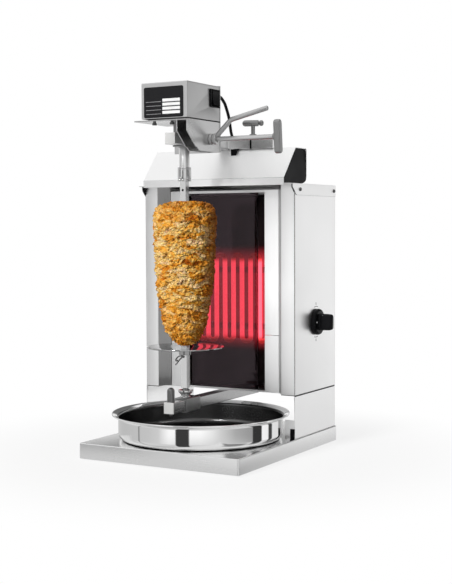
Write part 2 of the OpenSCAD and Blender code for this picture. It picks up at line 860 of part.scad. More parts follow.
module stop_screw() {
  low = lower_z - arm_s / 2;
  color(dark_steel) {
    rod_z(stop_grip_r, [0, stop_y, lower_z + arm_s / 2 + free_gap], stop_grip_h - stop_grip_r);
    intersection() {
      translate([0, stop_y, lower_z + arm_s / 2 + free_gap + stop_grip_h - stop_grip_r])
        sphere(r = stop_grip_r);
      rod_z(stop_grip_r, [0, stop_y, lower_z + arm_s / 2 + free_gap + stop_grip_h - stop_grip_r],
            stop_grip_r);
    }
    rod_z(stop_r, [0, stop_y, low - stop_clear], arm_s + stop_clear + free_gap);
    translate([0, stop_y, low - stop_clear - stop_tip / 2])
      cylinder(r1 = stop_r / 3, r2 = stop_r, h = stop_tip / 2);
  }
}

// T screw on the cross support
t_stem_r = 3.5;
t_flange_r = 6.5;
t_flange_t = 6.8;
t_stem_h = 21;
t_head_l = 38;
t_head_s = 11;
t_turn = 18;

module t_bar(l, s) {
  for (x = [-1, 1]) translate([x * (l - s) / 2, 0, 0]) sphere(r = s / 2);
  rod_x(s / 2, [(s - l) / 2, 0, 0], l - s);
}

module cross_screw() {
  top = upper_z + arm_s / 2;
  color(dark_steel) translate([kerf_x, bar_y, 0]) rotate([0, 0, t_turn]) {
    rod_z(t_stem_r, [0, 0, upper_z + inner_bar_s / 2 + free_gap / 2],
          top + t_stem_h - upper_z - inner_bar_s / 2);
    rod_z(t_flange_r, [0, 0, top + slide_gap], t_flange_t);
    translate([0, 0, top + t_stem_h + t_head_s / 2 - overrun]) t_bar(t_head_l, t_head_s);
  }
}

// Bracket under the motor: base plate, back plate, right plate and inner plate
wing = 16;                                // left wing of the base plate beyond the cover
inner_plate_x = 25;
back_plate_t = 1.5;
back_plate_out = 1.2;
back_plate_low = 48;                      // reach of the back plate below the base plate

// Side plate seen from the right, as shares of the cover's depth and of the plate's drop
plate_shares = [[0, 0], [0, 0.36], [0.258, 0.87], [0.306, 0.89], [0.363, 1], [1, 1], [1, 0]];

module side_plate_outline() {
  polygon([for (p = plate_shares) [cover_front + p.x * cover_d, plate_z - p.y * back_plate_low]]);
  // its upper edge runs into the base plate
  translate([cover_front + cap_bevel, plate_z - plate_t / 2]) square([cover_d - cap_bevel, plate_t]);
}

module drive_bracket() {
  right = cover_w / 2;
  color(steel) difference() {
    union() {
      slab([-right - wing, cover_front + cap_bevel, plate_z], [right, cover_back, plate_z + plate_t]);
      slab([-right - back_plate_out, cover_back, plate_z - back_plate_low],
           [right + back_plate_out, cover_back + back_plate_t, cover_z + cover_h + overrun]);
      prism_x(right - plate_t, right) side_plate_outline();
      prism_x(inner_plate_x - plate_t, inner_plate_x) side_plate_outline();
    }
    rod_z(shaft_r + shaft_clear, [0, spit_y, plate_z - overrun], plate_t + 2 * overrun);
    rod_x(spindle_r + free_gap, [inner_plate_x - 2 * plate_t, spindle_y, upper_z],
          right);
    slab([-slider_s / 2 - free_gap, cover_back - overrun, upper_z - slider_s / 2 - free_gap],
         [slider_s / 2 + free_gap, cover_back + back_plate_t + overrun,
          upper_z + slider_s / 2 + free_gap]);
    rod_y(lead_r + free_gap, [lead_exit.x, cover_back - overrun, lead_exit.z], back_plate_t + 2 * overrun);
  }
}

// The slider holds the bracket on the upper arm
module arm_slider() {
  inner = arm_s + 2 * slide_gap;
  front = spit_y - slider_front;
  rear = spit_y + slider_rear;
  top = upper_z + slider_s / 2;
  color(dark_steel) difference() {
    union() {
      square_tube_y(slider_s, inner, front, rear, upper_z);
      slab([-slider_s / 2, front + slider_wall, top], [slider_s / 2, rear - slider_wall, plate_z]);
      slab([slider_s / 2, front + slider_wall, upper_z - slider_s / 2],
           [inner_plate_x - plate_t, rear - slider_wall, plate_z]);
    }
    rod_z(shaft_r + shaft_clear, [0, spit_y, upper_z - slider_s], 2 * slider_s + plate_z - upper_z);
    rod_z(drive_tube_r + free_gap, [0, spit_y, upper_z - slider_s], slider_s / 2 + slider_wall - overrun);
    rod_x(spindle_r + run_gap, [arm_s / 2, spindle_y, upper_z], inner_plate_x);
  }
}

// Motor cover, a folded shell open below and behind
switch_inset = 17;
switch_y = cover_back - switch_inset;
switch_rise = 37;
switch_z = cover_z + switch_rise;
switch_d = 31;
switch_h = 30;
rocker_d = 20;
rocker_h = 24;
window_gap = 1;
frame_t = 2;

module motor_cover() {
  color(steel) difference() {
    slab([-cover_w / 2, cover_front, cover_z], [cover_w / 2, cover_back, cover_z + cover_h]);
    slab([-cover_w / 2 + sheet, cover_front + sheet, cover_z - overrun],
         [cover_w / 2 - sheet, cover_back + overrun, cover_z + cover_h - sheet]);
    slab([0, switch_y - rocker_d / 2 - frame_t, switch_z - rocker_h / 2 - frame_t],
         [cover_w, switch_y + rocker_d / 2 + frame_t, switch_z + rocker_h / 2 + frame_t]);
  }
}

label_w = 75.5;
label_h = 50;
label_drop = 3.2;                         // of the plate's middle below the cover's
label_side = -0.75;
label_t = 0.8;
label_r = 3;

module data_plate() {
  color(black) translate([label_side, cover_front, cover_z + cover_h / 2 - label_drop]) rotate([90, 0, 0])
    linear_extrude(height = label_t) round_rect(label_w, label_h, label_r);
}

gearbox_w = 64;
gearbox_d = 70;
gearbox_h = 24;
motor_r = 24;
motor_h = 30;

module gearbox() {
  color("#9a9ca0") difference() {
    slab([-gearbox_w / 2, spit_y - gearbox_d / 2, plate_z + plate_t],
         [gearbox_w / 2, spit_y + gearbox_d / 2, plate_z + plate_t + gearbox_h]);
    rod_z(shaft_r + run_gap, [0, spit_y, plate_z], gearbox_h - plate_t);
  }
}

module motor() {
  color("#3b4a66") rod_z(motor_r, [0, spit_y, plate_z + plate_t + gearbox_h], motor_h);
}

bolt_r = 2.5;
bolt_head_r = 4.2;
bolt_head_h = 3.5;
bolt_drop = 6;
bolt_shares = [[-0.57, 0.1], [0.2, 0.1], [-0.57, 0.9], [0.8, 0.9]];

module bracket_bolts() {
  color("#2a2a2c") for (p = bolt_shares)
    translate([p.x * cover_w / 2, cover_front + p.y * cover_d, plate_z - bolt_drop]) {
      cylinder(r = bolt_head_r, h = bolt_head_h, $fn = 6);
      rod_z(bolt_r, [0, 0, bolt_head_h], bolt_drop - bolt_head_h);
    }
}

switch_depth = 16;
pocket_depth = 8;
pivot_r = 1.5;
pivot_out = 1.6;                          // reach of the rocker's pivot pins into the housing

module switch_housing() {
  x = cover_w / 2;
  pocket_y = rocker_d / 2 + window_gap;
  pocket_z = rocker_h / 2 + window_gap;
  color(black) difference() {
    union() {
      slab([x, switch_y - switch_d / 2, switch_z - switch_h / 2],
           [x + frame_t, switch_y + switch_d / 2, switch_z + switch_h / 2]);
      slab([x - switch_depth, switch_y - rocker_d / 2 - frame_t, switch_z - rocker_h / 2 - frame_t],
           [x, switch_y + rocker_d / 2 + frame_t, switch_z + rocker_h / 2 + frame_t]);
    }
    slab([x - pocket_depth, switch_y - pocket_y, switch_z - pocket_z],
         [x + frame_t + overrun, switch_y + pocket_y, switch_z + pocket_z]);
    rod_y(pivot_r + run_gap, [x - pivot_in, switch_y - rocker_d / 2 - pivot_out - slide_gap, switch_z],
          rocker_d + 2 * (pivot_out + slide_gap));
  }
}

rocker_tilt = 6;
rocker_back = 4;
rocker_proud = 3.4;
rocker_waist = 1.8;
rocker_taper = 1;
pivot_in = 1;                             // depth of the pivot under the cover's face

module rocker_switch() {
  color("#101012") {
    translate([cover_w / 2 + frame_t / 2, switch_y + rocker_d / 2, switch_z])
      rotate([90, -rocker_tilt, 0]) linear_extrude(height = rocker_d) polygon([
        [-rocker_back, -rocker_h / 2 + rocker_taper], [rocker_proud, -rocker_h / 2], [rocker_waist, 0],
        [rocker_proud, rocker_h / 2], [-rocker_back, rocker_h / 2 - rocker_taper]
      ]);
    rod_y(pivot_r, [cover_w / 2 - pivot_in, switch_y - rocker_d / 2 - pivot_out, switch_z],
          rocker_d + 2 * pivot_out);
  }
}

// Lead from the back plate over the cross support to the grommet in the hood's flat top
lead_x = 38;
lead_drop = 15;                           // the lead leaves this far below the cover's top
lead_in = 4.6;                            // length of the lead inside the cover
lead_exit = [lead_x, cover_back + back_plate_t, cover_z + cover_h - lead_drop];
lead_end = [grommet_x, grommet_y, hood_top];
lead_steps = 2;

// Points between the exit and the grommet, as shares of the way along X, Y and Z
lead_shares = [
  [0.011, 0.077, 0.007], [0.051, 0.16, 0.028], [0.154, 0.302, 0.109], [0.234, 0.394, 0.197],
  [0.346, 0.503, 0.304], [0.486, 0.612, 0.409], [0.649, 0.72, 0.515], [0.806, 0.824, 0.617],
  [0.889, 0.891, 0.682], [0.934, 0.924, 0.717], [0.971, 0.963, 0.768], [0.994, 0.989, 0.836],
  [1, 1, 0.921]
];
lead_points = concat(
  [lead_exit - [0, back_plate_t + lead_in, 0], lead_exit],
  [for (f = lead_shares) [for (k = [0:2]) lead_exit[k] + f[k] * (lead_end[k] - lead_exit[k])]],
  [lead_end, lead_end - [0, 0, grommet_t]]
);

module motor_lead() { color(black) tube(curve(lead_points, lead_steps), lead_r); }

// Clamp spindle with its T grip, and the bent lever that locks it
grip_w = 11;
grip_d = 12.5;
grip_x = arm_s / 2 + spindle_reach;
grip_lean = 5;

module clamp_spindle() {
  color(steel) rod_x(spindle_r, [arm_s / 2 + free_gap, spindle_y, upper_z], spindle_reach - free_gap);
}

module t_grip() {
  color(dark_steel) translate([grip_x, spindle_y, upper_z]) rotate([grip_lean, 0, 0])
    prism_x(0, grip_w) {
      square([grip_d, grip_l - grip_d], center = true);
      for (z = [-1, 1]) translate([0, z * (grip_l - grip_d) / 2]) circle(r = grip_d / 2);
    }
}

hub_r = 9.3;
hub_t = 5;
hub_gap = 2.5;
hub_core_r = 6.5;
lever_r = 3.9;
lever_rise = 43.5;                         // slope of the lever's foot, in degrees
lever_slope = 13.2;                       // slope of the lever's arm
lever_knee_r = 4.2;                       // ball where the two meet
lever_foot_l = 44.5;
lever_arm_l = 71;

function slope_dir(a) = [cos(a), 0, sin(a)];

module lock_lever() {
  x = cover_w / 2 + free_gap;
  hub_l = 2 * hub_t + hub_gap;
  root = (hub_core_r - overrun) * slope_dir(lever_rise);
  knee = lever_foot_l * slope_dir(lever_rise);
  color(dark_steel) translate([x + hub_l / 2, spindle_y, upper_z]) difference() {
    union() {
      rotate([0, 90, 0]) rotate_extrude() polygon([
        [0, -hub_l / 2], [hub_r, -hub_l / 2], [hub_r, -hub_gap / 2], [hub_core_r, -hub_gap / 2],
        [hub_core_r, hub_gap / 2], [hub_r, hub_gap / 2], [hub_r, hub_l / 2], [0, hub_l / 2]
      ]);
      strut(root, knee, lever_r);
      translate(knee) sphere(r = lever_knee_r);
      strut(knee, knee + lever_arm_l * slope_dir(lever_slope), lever_r);
    }
    rod_x(spindle_r + run_gap, [-hub_l, 0, 0], 2 * hub_l);
  }
}

// Spit: output shaft and drive tube, square rod, disc, clip and meat
tube_l = 49.9;
tube_top = upper_z - slider_s / 2 + slider_wall - overrun - free_gap;
tube_low = tube_top - tube_l;
sleeve_drop = 8;                          // reach of the sleeve below the drive tube
sleeve_low = tube_low - sleeve_drop;
spit_gap_top = 12;
spit_top = tube_top - spit_gap_top;
cup_z = lower_z + slider_s / 2;
cup_h = 12.6;
cup_r = 13;
cup_foot_share = 0.72;
cup_cone_share = 0.75;
cup_wall = 1.5;
cup_floor_r = 1;
tip_rise = 5;
tip_z = cup_z + tip_rise;
tip_h = 11;
tip_r = 0.5;
tip_gap = 0.4;

module drive_shaft() {
  bore_r = spit_s * sqrt(2) / 2 + slide_gap;
  top = plate_z + gearbox_h - 2 * plate_t;
  color(steel) difference() {
    union() {
      rod_z(shaft_r, [0, spit_y, tube_top], top - tube_top);
      rod_z(drive_tube_r, [0, spit_y, tube_low], tube_top - tube_low);
    }
    rod_z(bore_r, [0, spit_y, tube_low - overrun], spit_top - tube_low + 2 * overrun);
  }
}

clip_drop = 17;
clip_z = disc_z - clip_drop;
clip_hole_r = 2;
pin_r = 1.5;
wire_clip_r = 1.2;
upper_hole_drop = 15;
upper_hole_z = sleeve_low - upper_hole_drop;

module spit_square(s, z0, z1) {
  slab([-s / 2, spit_y - s / 2, z0], [s / 2, spit_y + s / 2, z1]);
}

module spit_rod() {
  color(steel) difference() {
    union() {
      spit_square(spit_s, tip_z + tip_h, spit_top);
      translate([0, spit_y, tip_z])
        cylinder(r1 = tip_r, r2 = spit_s / 2, h = tip_h);
    }
    rod_y(clip_hole_r, [0, spit_y - spit_s, clip_z], 2 * spit_s);
    rod_y(clip_hole_r, [0, spit_y - spit_s, upper_hole_z], 2 * spit_s);
  }
}

disc_t = 2;
disc_hub_r = 11;
disc_hub_h = 12;

module support_disc() {
  color(steel) difference() {
    union() {
      rod_z(disc_r, [0, spit_y, disc_z - disc_t], disc_t);
      rod_z(disc_hub_r, [0, spit_y, disc_z - disc_t - disc_hub_h], disc_hub_h);
    }
    spit_square(spit_s, disc_z - disc_t - disc_hub_h - overrun, disc_z + overrun);
  }
}

clip_arc_r = 8;
clip_turn = 250;                          // how far the wire bends round

module spit_clip() {
  front = spit_y - spit_s / 2 - 2 * pin_r;
  color(steel) {
    rod_y(pin_r, [0, front, clip_z], spit_s + 5 * pin_r);
    translate([-clip_arc_r, front + pin_r, clip_z]) rotate([90, 0, 0]) rotate([0, 0, -clip_turn])
      rotate_extrude(angle = clip_turn) translate([clip_arc_r, 0]) circle(r = wire_clip_r);
  }
}

meat_shares = [
  [0.16, 0], [0.3, 0.026], [0.42, 0.051], [0.6, 0.111], [0.715, 0.191], [0.8, 0.292], [0.87, 0.393],
  [0.918, 0.492], [0.944, 0.592], [0.992, 0.774], [1, 0.86], [0.985, 0.902], [0.946, 0.94],
  [0.865, 0.968], [0.72, 0.987], [0.5, 1]
];

module meat_cone() {
  color("#c98a3c") difference() {
    translate([0, spit_y, disc_z]) rotate_extrude()
      polygon(concat([[0, 0]], [for (p = meat_shares) [p.x * meat_r, p.y * meat_h]], [[0, meat_h]]));
    spit_square(spit_s, disc_z - overrun, disc_z + meat_h + overrun);
  }
}

set_screw_r = 2.4;
set_screw_out = 2.5;

module coupling_sleeve() {
  color(steel) difference() {
    union() {
      rod_z(sleeve_r, [0, spit_y, sleeve_low], sleeve_l);
      rod_y(set_screw_r, [0, spit_y - sleeve_r - set_screw_out, sleeve_low + 2 * set_screw_r], sleeve_r / 2);
    }
    rod_z(drive_tube_r + run_gap, [0, spit_y, sleeve_low - overrun], sleeve_l + 2 * overrun);
    translate([0, spit_y - sleeve_r - set_screw_out, sleeve_low + 2 * set_screw_r])
      slab([-screw_slot / 2, -overrun, -set_screw_r], [screw_slot / 2, screw_slot_depth, set_screw_r]);
  }
}

// Lower slider with the bearing cup
lower_slider_front = 15.6;
lower_slider_rear = 28;

module lower_slider() {
  color(dark_steel) square_tube_y(slider_s, arm_s + 2 * slide_gap, spit_y - lower_slider_front,
                                  spit_y + lower_slider_rear, lower_z);
}

module bearing_cup() {
  color(steel) difference() {
    union() {
      translate([0, spit_y, cup_z])
        cylinder(r1 = cup_r * cup_foot_share, r2 = cup_r, h = cup_h * cup_cone_share);
      rod_z(cup_r, [0, spit_y, cup_z + cup_h * cup_cone_share], cup_h * (1 - cup_cone_share));
    }
    translate([0, spit_y, tip_z - tip_gap])
      cylinder(r1 = cup_floor_r, r2 = cup_r - cup_wall, h = cup_h + cup_z - tip_z + tip_gap + run_gap);
  }
}

// Knob
knob_gap = 0.4;
skirt_t = 8.5;
knob_grip_w = 16;
knob_grip_h = 29;
dot_r = 1.6;

module knob_shaft() {
  x0 = hw - sheet - regulator_l / 2 + overrun;
  color(dark_steel) rod_x(shaft_bore_r, [x0, knob_y, knob_z], hw + knob_reach / 2 - x0);
}

module control_knob() {
  x0 = hw + knob_gap;
  round_r = 4;
  color(black) difference() {
    union() {
      rod_x(knob_r, [x0, knob_y, knob_z], skirt_t);
      translate([x0 + skirt_t, knob_y + knob_grip_w / 2, knob_z - knob_grip_h / 2]) rotate([90, 0, 0])
        linear_extrude(height = knob_grip_w) {
          square([knob_reach - knob_gap - skirt_t - round_r, knob_grip_h]);
          square([knob_reach - knob_gap - skirt_t, knob_grip_h - 2 * round_r]);
        }
    }
    rod_x(shaft_bore_r, [x0 - overrun, knob_y, knob_z], knob_reach / 2 - knob_gap + overrun);
  }
}

// Drip pan
pan_rim_r = base_w / 2 + pan_over;
pan_wall_share = 0.918;
pan_r = pan_wall_share * pan_rim_r;       // the pan's upright wall
pan_y_share = 0.391;                      // the pan's middle stands this share of its rim before the columns
pan_y = body_front - pan_y_share * pan_rim_r;
pan_t = 1.2;
pan_corner_r = 12;
pan_lip_h = 7;

module drip_pan() {
  inner_r = pan_corner_r - pan_t;
  color(steel) translate([0, pan_y, base_top]) rotate_extrude($fn = 96) polygon(concat(
    [[0, 0]],
    arc([pan_r - pan_corner_r, pan_corner_r], pan_corner_r, -90, 0, 8),
    [[pan_r, pan_h - pan_lip_h], [pan_rim_r, pan_h - pan_t], [pan_rim_r, pan_h],
     [pan_r - pan_t, pan_h - pan_lip_h + pan_t / 2]],
    arc([pan_r - pan_corner_r, pan_corner_r], inner_r, 0, -90, 8),
    [[0, pan_t]]
  ));
}

base_tray();
rubber_feet();
lower_panel_left();
lower_panel_right();
bumper_pads();
side_panel_left();
side_panel_right();
side_trim_left();
side_trim_right();
panel_screws();
back_panel();
heater_floor();
top_plate();
hood();
hood_cap_left();
hood_cap_right();
glass_frame();
ceramic_glass();
glass_clips();
heating_element();
element_holders();
reflector_box();
insulation_board();
terminal_block();
energy_regulator();
internal_wiring();
cable_gland();
lower_arm();
upper_arm();
arm_end_caps();
support_tube();
clamp_pad();
bar_wedge();
lead_grommet();
stop_screw();
cross_screw();
drive_bracket();
arm_slider();
motor_cover();
data_plate();
gearbox();
motor();
bracket_bolts();
switch_housing();
rocker_switch();
motor_lead();
clamp_spindle();
t_grip();
lock_lever();
drive_shaft();
spit_rod();
support_disc();
spit_clip();
meat_cone();
coupling_sleeve();
lower_slider();
bearing_cup();
knob_shaft();
control_knob();
drip_pan();
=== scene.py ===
import math

import bmesh
import bpy
import numpy as np
from mathutils import Matrix, Vector, kdtree


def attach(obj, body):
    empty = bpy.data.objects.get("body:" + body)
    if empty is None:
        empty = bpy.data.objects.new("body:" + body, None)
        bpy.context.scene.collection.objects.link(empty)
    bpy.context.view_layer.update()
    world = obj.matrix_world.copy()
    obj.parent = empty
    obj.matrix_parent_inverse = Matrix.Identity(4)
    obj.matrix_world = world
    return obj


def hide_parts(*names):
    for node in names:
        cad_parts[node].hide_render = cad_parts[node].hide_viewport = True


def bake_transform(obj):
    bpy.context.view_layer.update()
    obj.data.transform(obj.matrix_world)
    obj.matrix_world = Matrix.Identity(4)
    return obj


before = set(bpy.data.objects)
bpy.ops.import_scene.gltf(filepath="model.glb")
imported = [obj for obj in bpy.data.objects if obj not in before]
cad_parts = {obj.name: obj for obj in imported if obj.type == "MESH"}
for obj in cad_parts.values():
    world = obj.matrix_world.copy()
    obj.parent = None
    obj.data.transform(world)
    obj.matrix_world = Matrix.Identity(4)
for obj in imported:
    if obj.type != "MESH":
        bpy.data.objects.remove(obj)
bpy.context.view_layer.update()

MM = 0.001


def mm(*v):
    return tuple(x * MM for x in v)


def cosd(a):
    return math.cos(math.radians(a))


def sind(a):
    return math.sin(math.radians(a))


def toward(az, el):
    """The direction of an azimuth, counted from the front to the right, and a height above the level."""
    return Vector((sind(az) * cosd(el), -cosd(az) * cosd(el), sind(el)))


def add(name, data):
    ob = bpy.data.objects.new(name, data)
    bpy.context.scene.collection.objects.link(ob)
    return ob


# ---------------------------------------------------------------- camera
def make_camera():
    back = toward(29.58883, 3.07752)
    right = Vector((0, 0, 1)).cross(back).normalized()
    up = back.cross(right)
    roll = -0.2338
    r = cosd(roll) * right + sind(roll) * up
    u = cosd(roll) * up - sind(roll) * right
    data = bpy.data.cameras.new("camera")
    data.sensor_width = 36
    data.lens = 74.26
    data.clip_start, data.clip_end = 0.05, 40
    cam = add("camera", data)
    cam.matrix_world = Matrix((
        (r.x, u.x, back.x, 1.0607), (r.y, u.y, back.y, -1.8194), (r.z, u.z, back.z, 0.3927), (0, 0, 0, 1)
    ))
    bpy.context.scene.camera = cam


make_camera()


# ---------------------------------------------------------------- materials
class Tree:
    """A node tree and short calls for the nodes it needs."""

    def __init__(self, tree):
        self.tree = tree
        tree.nodes.clear()

    def node(self, kind, **values):
        n = self.tree.nodes.new(kind)
        for key, value in values.items():
            setattr(n, key, value)
        return n

    def link(self, a, b):
        self.tree.links.new(a, b)

    def put(self, socket, value):
        if hasattr(value, "is_output"):
            self.link(value, socket)
        else:
            socket.default_value = value

    def span(self, value, a, b, c, d, smooth=False):
        """The value's way from a to b, put on the way from c to d."""
        n = self.node("ShaderNodeMapRange", clamp=True)
        if smooth:
            n.interpolation_type = "SMOOTHSTEP"
        for socket, x in zip(n.inputs, (value, a, b, c, d)):
            self.put(socket, x)
        return n.outputs[0]

    def math(self, kind, a, b=0.0):
        n = self.node("ShaderNodeMath", operation=kind)
        self.put(n.inputs[0], a)
        self.put(n.inputs[1], b)
        return n.outputs[0]

    def times(self, a, b):
        return self.math("MULTIPLY", a, b)

    def plus(self, a, b):
        return self.math("ADD", a, b)

    def ramp(self, value, stops):
        n = self.node("ShaderNodeValToRGB")
        e = n.color_ramp.elements
        while len(e) < len(stops):
            e.new(0.5)
        for el, (pos, colour) in zip(e, stops):
            el.position = pos
            el.color = (*colour, 1)
        self.link(value, n.inputs[0])
        return n.outputs[0]


class Shade(Tree):
    """A procedural material with a Principled shader."""

    def __init__(self, name):
        self.mat = bpy.data.materials.new(name)
        self.mat.use_nodes = True
        super().__init__(self.mat.node_tree)
        self.out = self.node("ShaderNodeOutputMaterial")
        self.bsdf = self.node("ShaderNodeBsdfPrincipled")
        self.link(self.bsdf.outputs[0], self.out.inputs["Surface"])
        self.place = self.node("ShaderNodeTexCoord").outputs["Object"]

    def set(self, **values):
        for key, value in values.items():
            self.put(self.bsdf.inputs[key.replace("_", " ")], value)

    def texture(self, kind, stretch, **values):
        m = self.node("ShaderNodeMapping")
        m.inputs["Scale"].default_value = stretch
        self.link(self.place, m.inputs["Vector"])
        n = self.node(kind)
        for key, value in values.items():
            n.inputs[key].default_value = value
        self.link(m.outputs[0], n.inputs["Vector"])
        return n.outputs

    def noise(self, scale, detail=3.0, rough=0.5, stretch=(1, 1, 1), distort=0.0):
        return self.texture("ShaderNodeTexNoise", stretch, Scale=scale, Detail=detail, Roughness=rough,
                            Distortion=distort)["Fac"]

    def voronoi(self, scale, stretch=(1, 1, 1)):
        return self.texture("ShaderNodeTexVoronoi", stretch, Scale=scale)["Distance"]

    def mix(self, factor, a, b):
        n = self.node("ShaderNodeMix", data_type="RGBA")
        self.put(n.inputs[0], factor)
        self.put(n.inputs[6], (*a, 1) if isinstance(a, tuple) else a)
        self.put(n.inputs[7], (*b, 1) if isinstance(b, tuple) else b)
        return n.outputs[2]

    def attribute(self, name):
        return self.node("ShaderNodeAttribute", attribute_name=name).outputs["Fac"]

    def axes(self):
        n = self.node("ShaderNodeSeparateXYZ")
        self.link(self.place, n.inputs[0])
        return n.outputs

    def bump(self, *layers):
        """Bumps from (height, distance in metres, strength), one after another."""
        normal = None
        for height, distance, strength in layers:
            n = self.node("ShaderNodeBump")
            n.inputs["Distance"].default_value = distance
            n.inputs["Strength"].default_value = strength
            self.link(height, n.inputs["Height"])
            if normal is not None:
                self.link(normal, n.inputs["Normal"])
            normal = n.outputs[0]
        self.link(normal, self.bsdf.inputs["Normal"])


def scaled(v, colour=(1.0, 1.0, 1.0)):
    """A colour v times as bright, and a grey when only v is given."""
    return tuple(v * c for c in colour)


def two_tone(s, value, low, high, edge=0.3):
    """A colour that goes from low to high with a texture's value."""
    s.set(Base_Color=s.ramp(value, [(edge, low), (1 - edge, high)]))


def metal(name, value, rough, grain=None, fine=900.0, depth=0.000012, spots=0.03, wave=0.0):
    """Bare metal. grain is the axis its brushed lines run along, or None for a plain finish."""
    s = Shade(name)
    cloud = s.noise(9.0, 4.0, 0.55)
    if grain is None:
        lines = s.noise(fine, 2.0, 0.5)
    else:
        stretch = [1.0, 1.0, 1.0]
        stretch["xyz".index(grain)] = 0.012
        lines = s.noise(fine, 3.0, 0.6, tuple(stretch))
    tone = s.plus(s.times(lines, 0.5), s.times(cloud, 0.5))
    two_tone(s, tone, scaled(value * (1 - spots)), scaled(value * (1 + spots)))
    s.set(Metallic=1.0, Roughness=s.span(tone, 0.3, 0.7, rough * 0.82, rough * 1.2))
    layers = [(lines, depth, 0.6)]
    if wave:
        layers.append((s.noise(5.0, 1.0, 0.4), wave, 1.0))
    s.bump(*layers)
    return s.mat


def plastic(name, colour, rough, pebble=1400.0, depth=0.00004):
    s = Shade(name)
    fine = s.noise(pebble, 2.0, 0.5)
    cloud = s.noise(30.0, 3.0, 0.5)
    two_tone(s, cloud, scaled(0.85, colour), scaled(1.12, colour))
    s.set(Roughness=s.span(cloud, 0.3, 0.7, rough * 0.88, rough * 1.15))
    s.set(Specular_IOR_Level=0.07 if max(colour) < 0.1 else 0.4)
    s.bump((fine, depth, 0.5))
    return s.mat


def matte(name, colour, rough, scale, depth, contrast=0.15):
    s = Shade(name)
    grain = s.noise(scale, 5.0, 0.65)
    two_tone(s, grain, scaled(1 - contrast, colour), scaled(1 + contrast, colour))
    s.set(Roughness=rough)
    s.bump((grain, depth, 0.7))
    return s.mat


def glass_material():
    s = Shade("ceramic_glass")
    smear = s.noise(14.0, 4.0, 0.6, (1.0, 1.0, 0.6), 0.6)
    two_tone(s, smear, (0.34, 0.27, 0.30), (0.38, 0.31, 0.34), 0.35)
    s.set(Roughness=s.span(smear, 0.45, 0.7, 0.012, 0.05), IOR=1.40, Transmission_Weight=1.0,
          Specular_Tint=(1.0, 0.82, 0.90, 1))
    s.bump((s.noise(3.0, 1.0, 0.5), 0.0004, 0.4))
    return s.mat


# heights in metres between which the glow sets in at the bottom and ends at the top: the element's own glow, and the
# painted glow of its light on the wall and the holders
LEGS_HOT = (0.189, 0.203, 0.328, 0.340)
WALL_PAINTED_GLOW = (0.170, 0.205, 0.325, 0.362)
# the same across the reflector
WALL_ACROSS = (-0.078, -0.060, 0.064, 0.082)
# the red of the painted glow on the reflector wall and the holders
PAINTED_GLOW_RED = (1.0, 0.06, 0.09, 1)
# how far before the frame's middle, in metres, the meat's darker brown is reckoned from: partly browning, partly
# painted shade
BROWN_AND_SHADE_FROM = 0.079


def between(s, value, low0, low1, high0, high1):
    return s.times(s.span(value, low0, low1, 0.0, 1.0, True), s.span(value, high0, high1, 1.0, 0.0, True))


def element_material():
    s = Shade("glowing_element")
    glow_band = between(s, s.axes()[2], *LEGS_HOT)
    spots = s.noise(260.0, 3.0, 0.6)
    two_tone(s, spots, (0.10, 0.02, 0.02), (0.16, 0.03, 0.03))
    glow = s.times(s.span(glow_band, 0.0, 1.0, 0.14, 1.0), s.span(spots, 0.3, 0.7, 0.94, 1.06))
    colour = s.mix(glow_band, (1.0, 0.05, 0.05), (1.0, 0.075, 0.11))
    s.set(Roughness=0.6, Emission_Color=colour, Emission_Strength=s.times(glow, 2.7))
    s.bump((spots, 0.0001, 0.4))
    return s.mat


def reflector_material():
    s = Shade("reflector_back")
    axes = s.axes()
    glow_band = between(s, axes[2], *WALL_PAINTED_GLOW)
    cloud = s.noise(40.0, 4.0, 0.6)
    two_tone(s, cloud, (0.020, 0.018, 0.018), (0.030, 0.026, 0.026))
    across = between(s, axes[0], *WALL_ACROSS)
    # the red glow on the reflector wall is painted light from the element
    s.set(Metallic=0.5, Roughness=0.6, Specular_IOR_Level=0.1, Emission_Color=PAINTED_GLOW_RED,
          Emission_Strength=s.times(s.times(glow_band, across), 0.62))
    s.bump((cloud, 0.0004, 0.5))
    return s.mat


def ceramic_painted_glow():
    s = Shade("ceramic_painted_glow")
    glow_band = between(s, s.axes()[2], *WALL_PAINTED_GLOW)
    grain = s.noise(300.0, 4.0, 0.6)
    two_tone(s, grain, (0.05, 0.035, 0.03), (0.07, 0.05, 0.045))
    # the holders' red glow is painted light from the element
    s.set(Roughness=0.7, Specular_IOR_Level=0.1, Emission_Color=PAINTED_GLOW_RED, Emission_Strength=s.times(glow_band, 0.34))
    s.bump((grain, 0.0002, 0.5))
    return s.mat


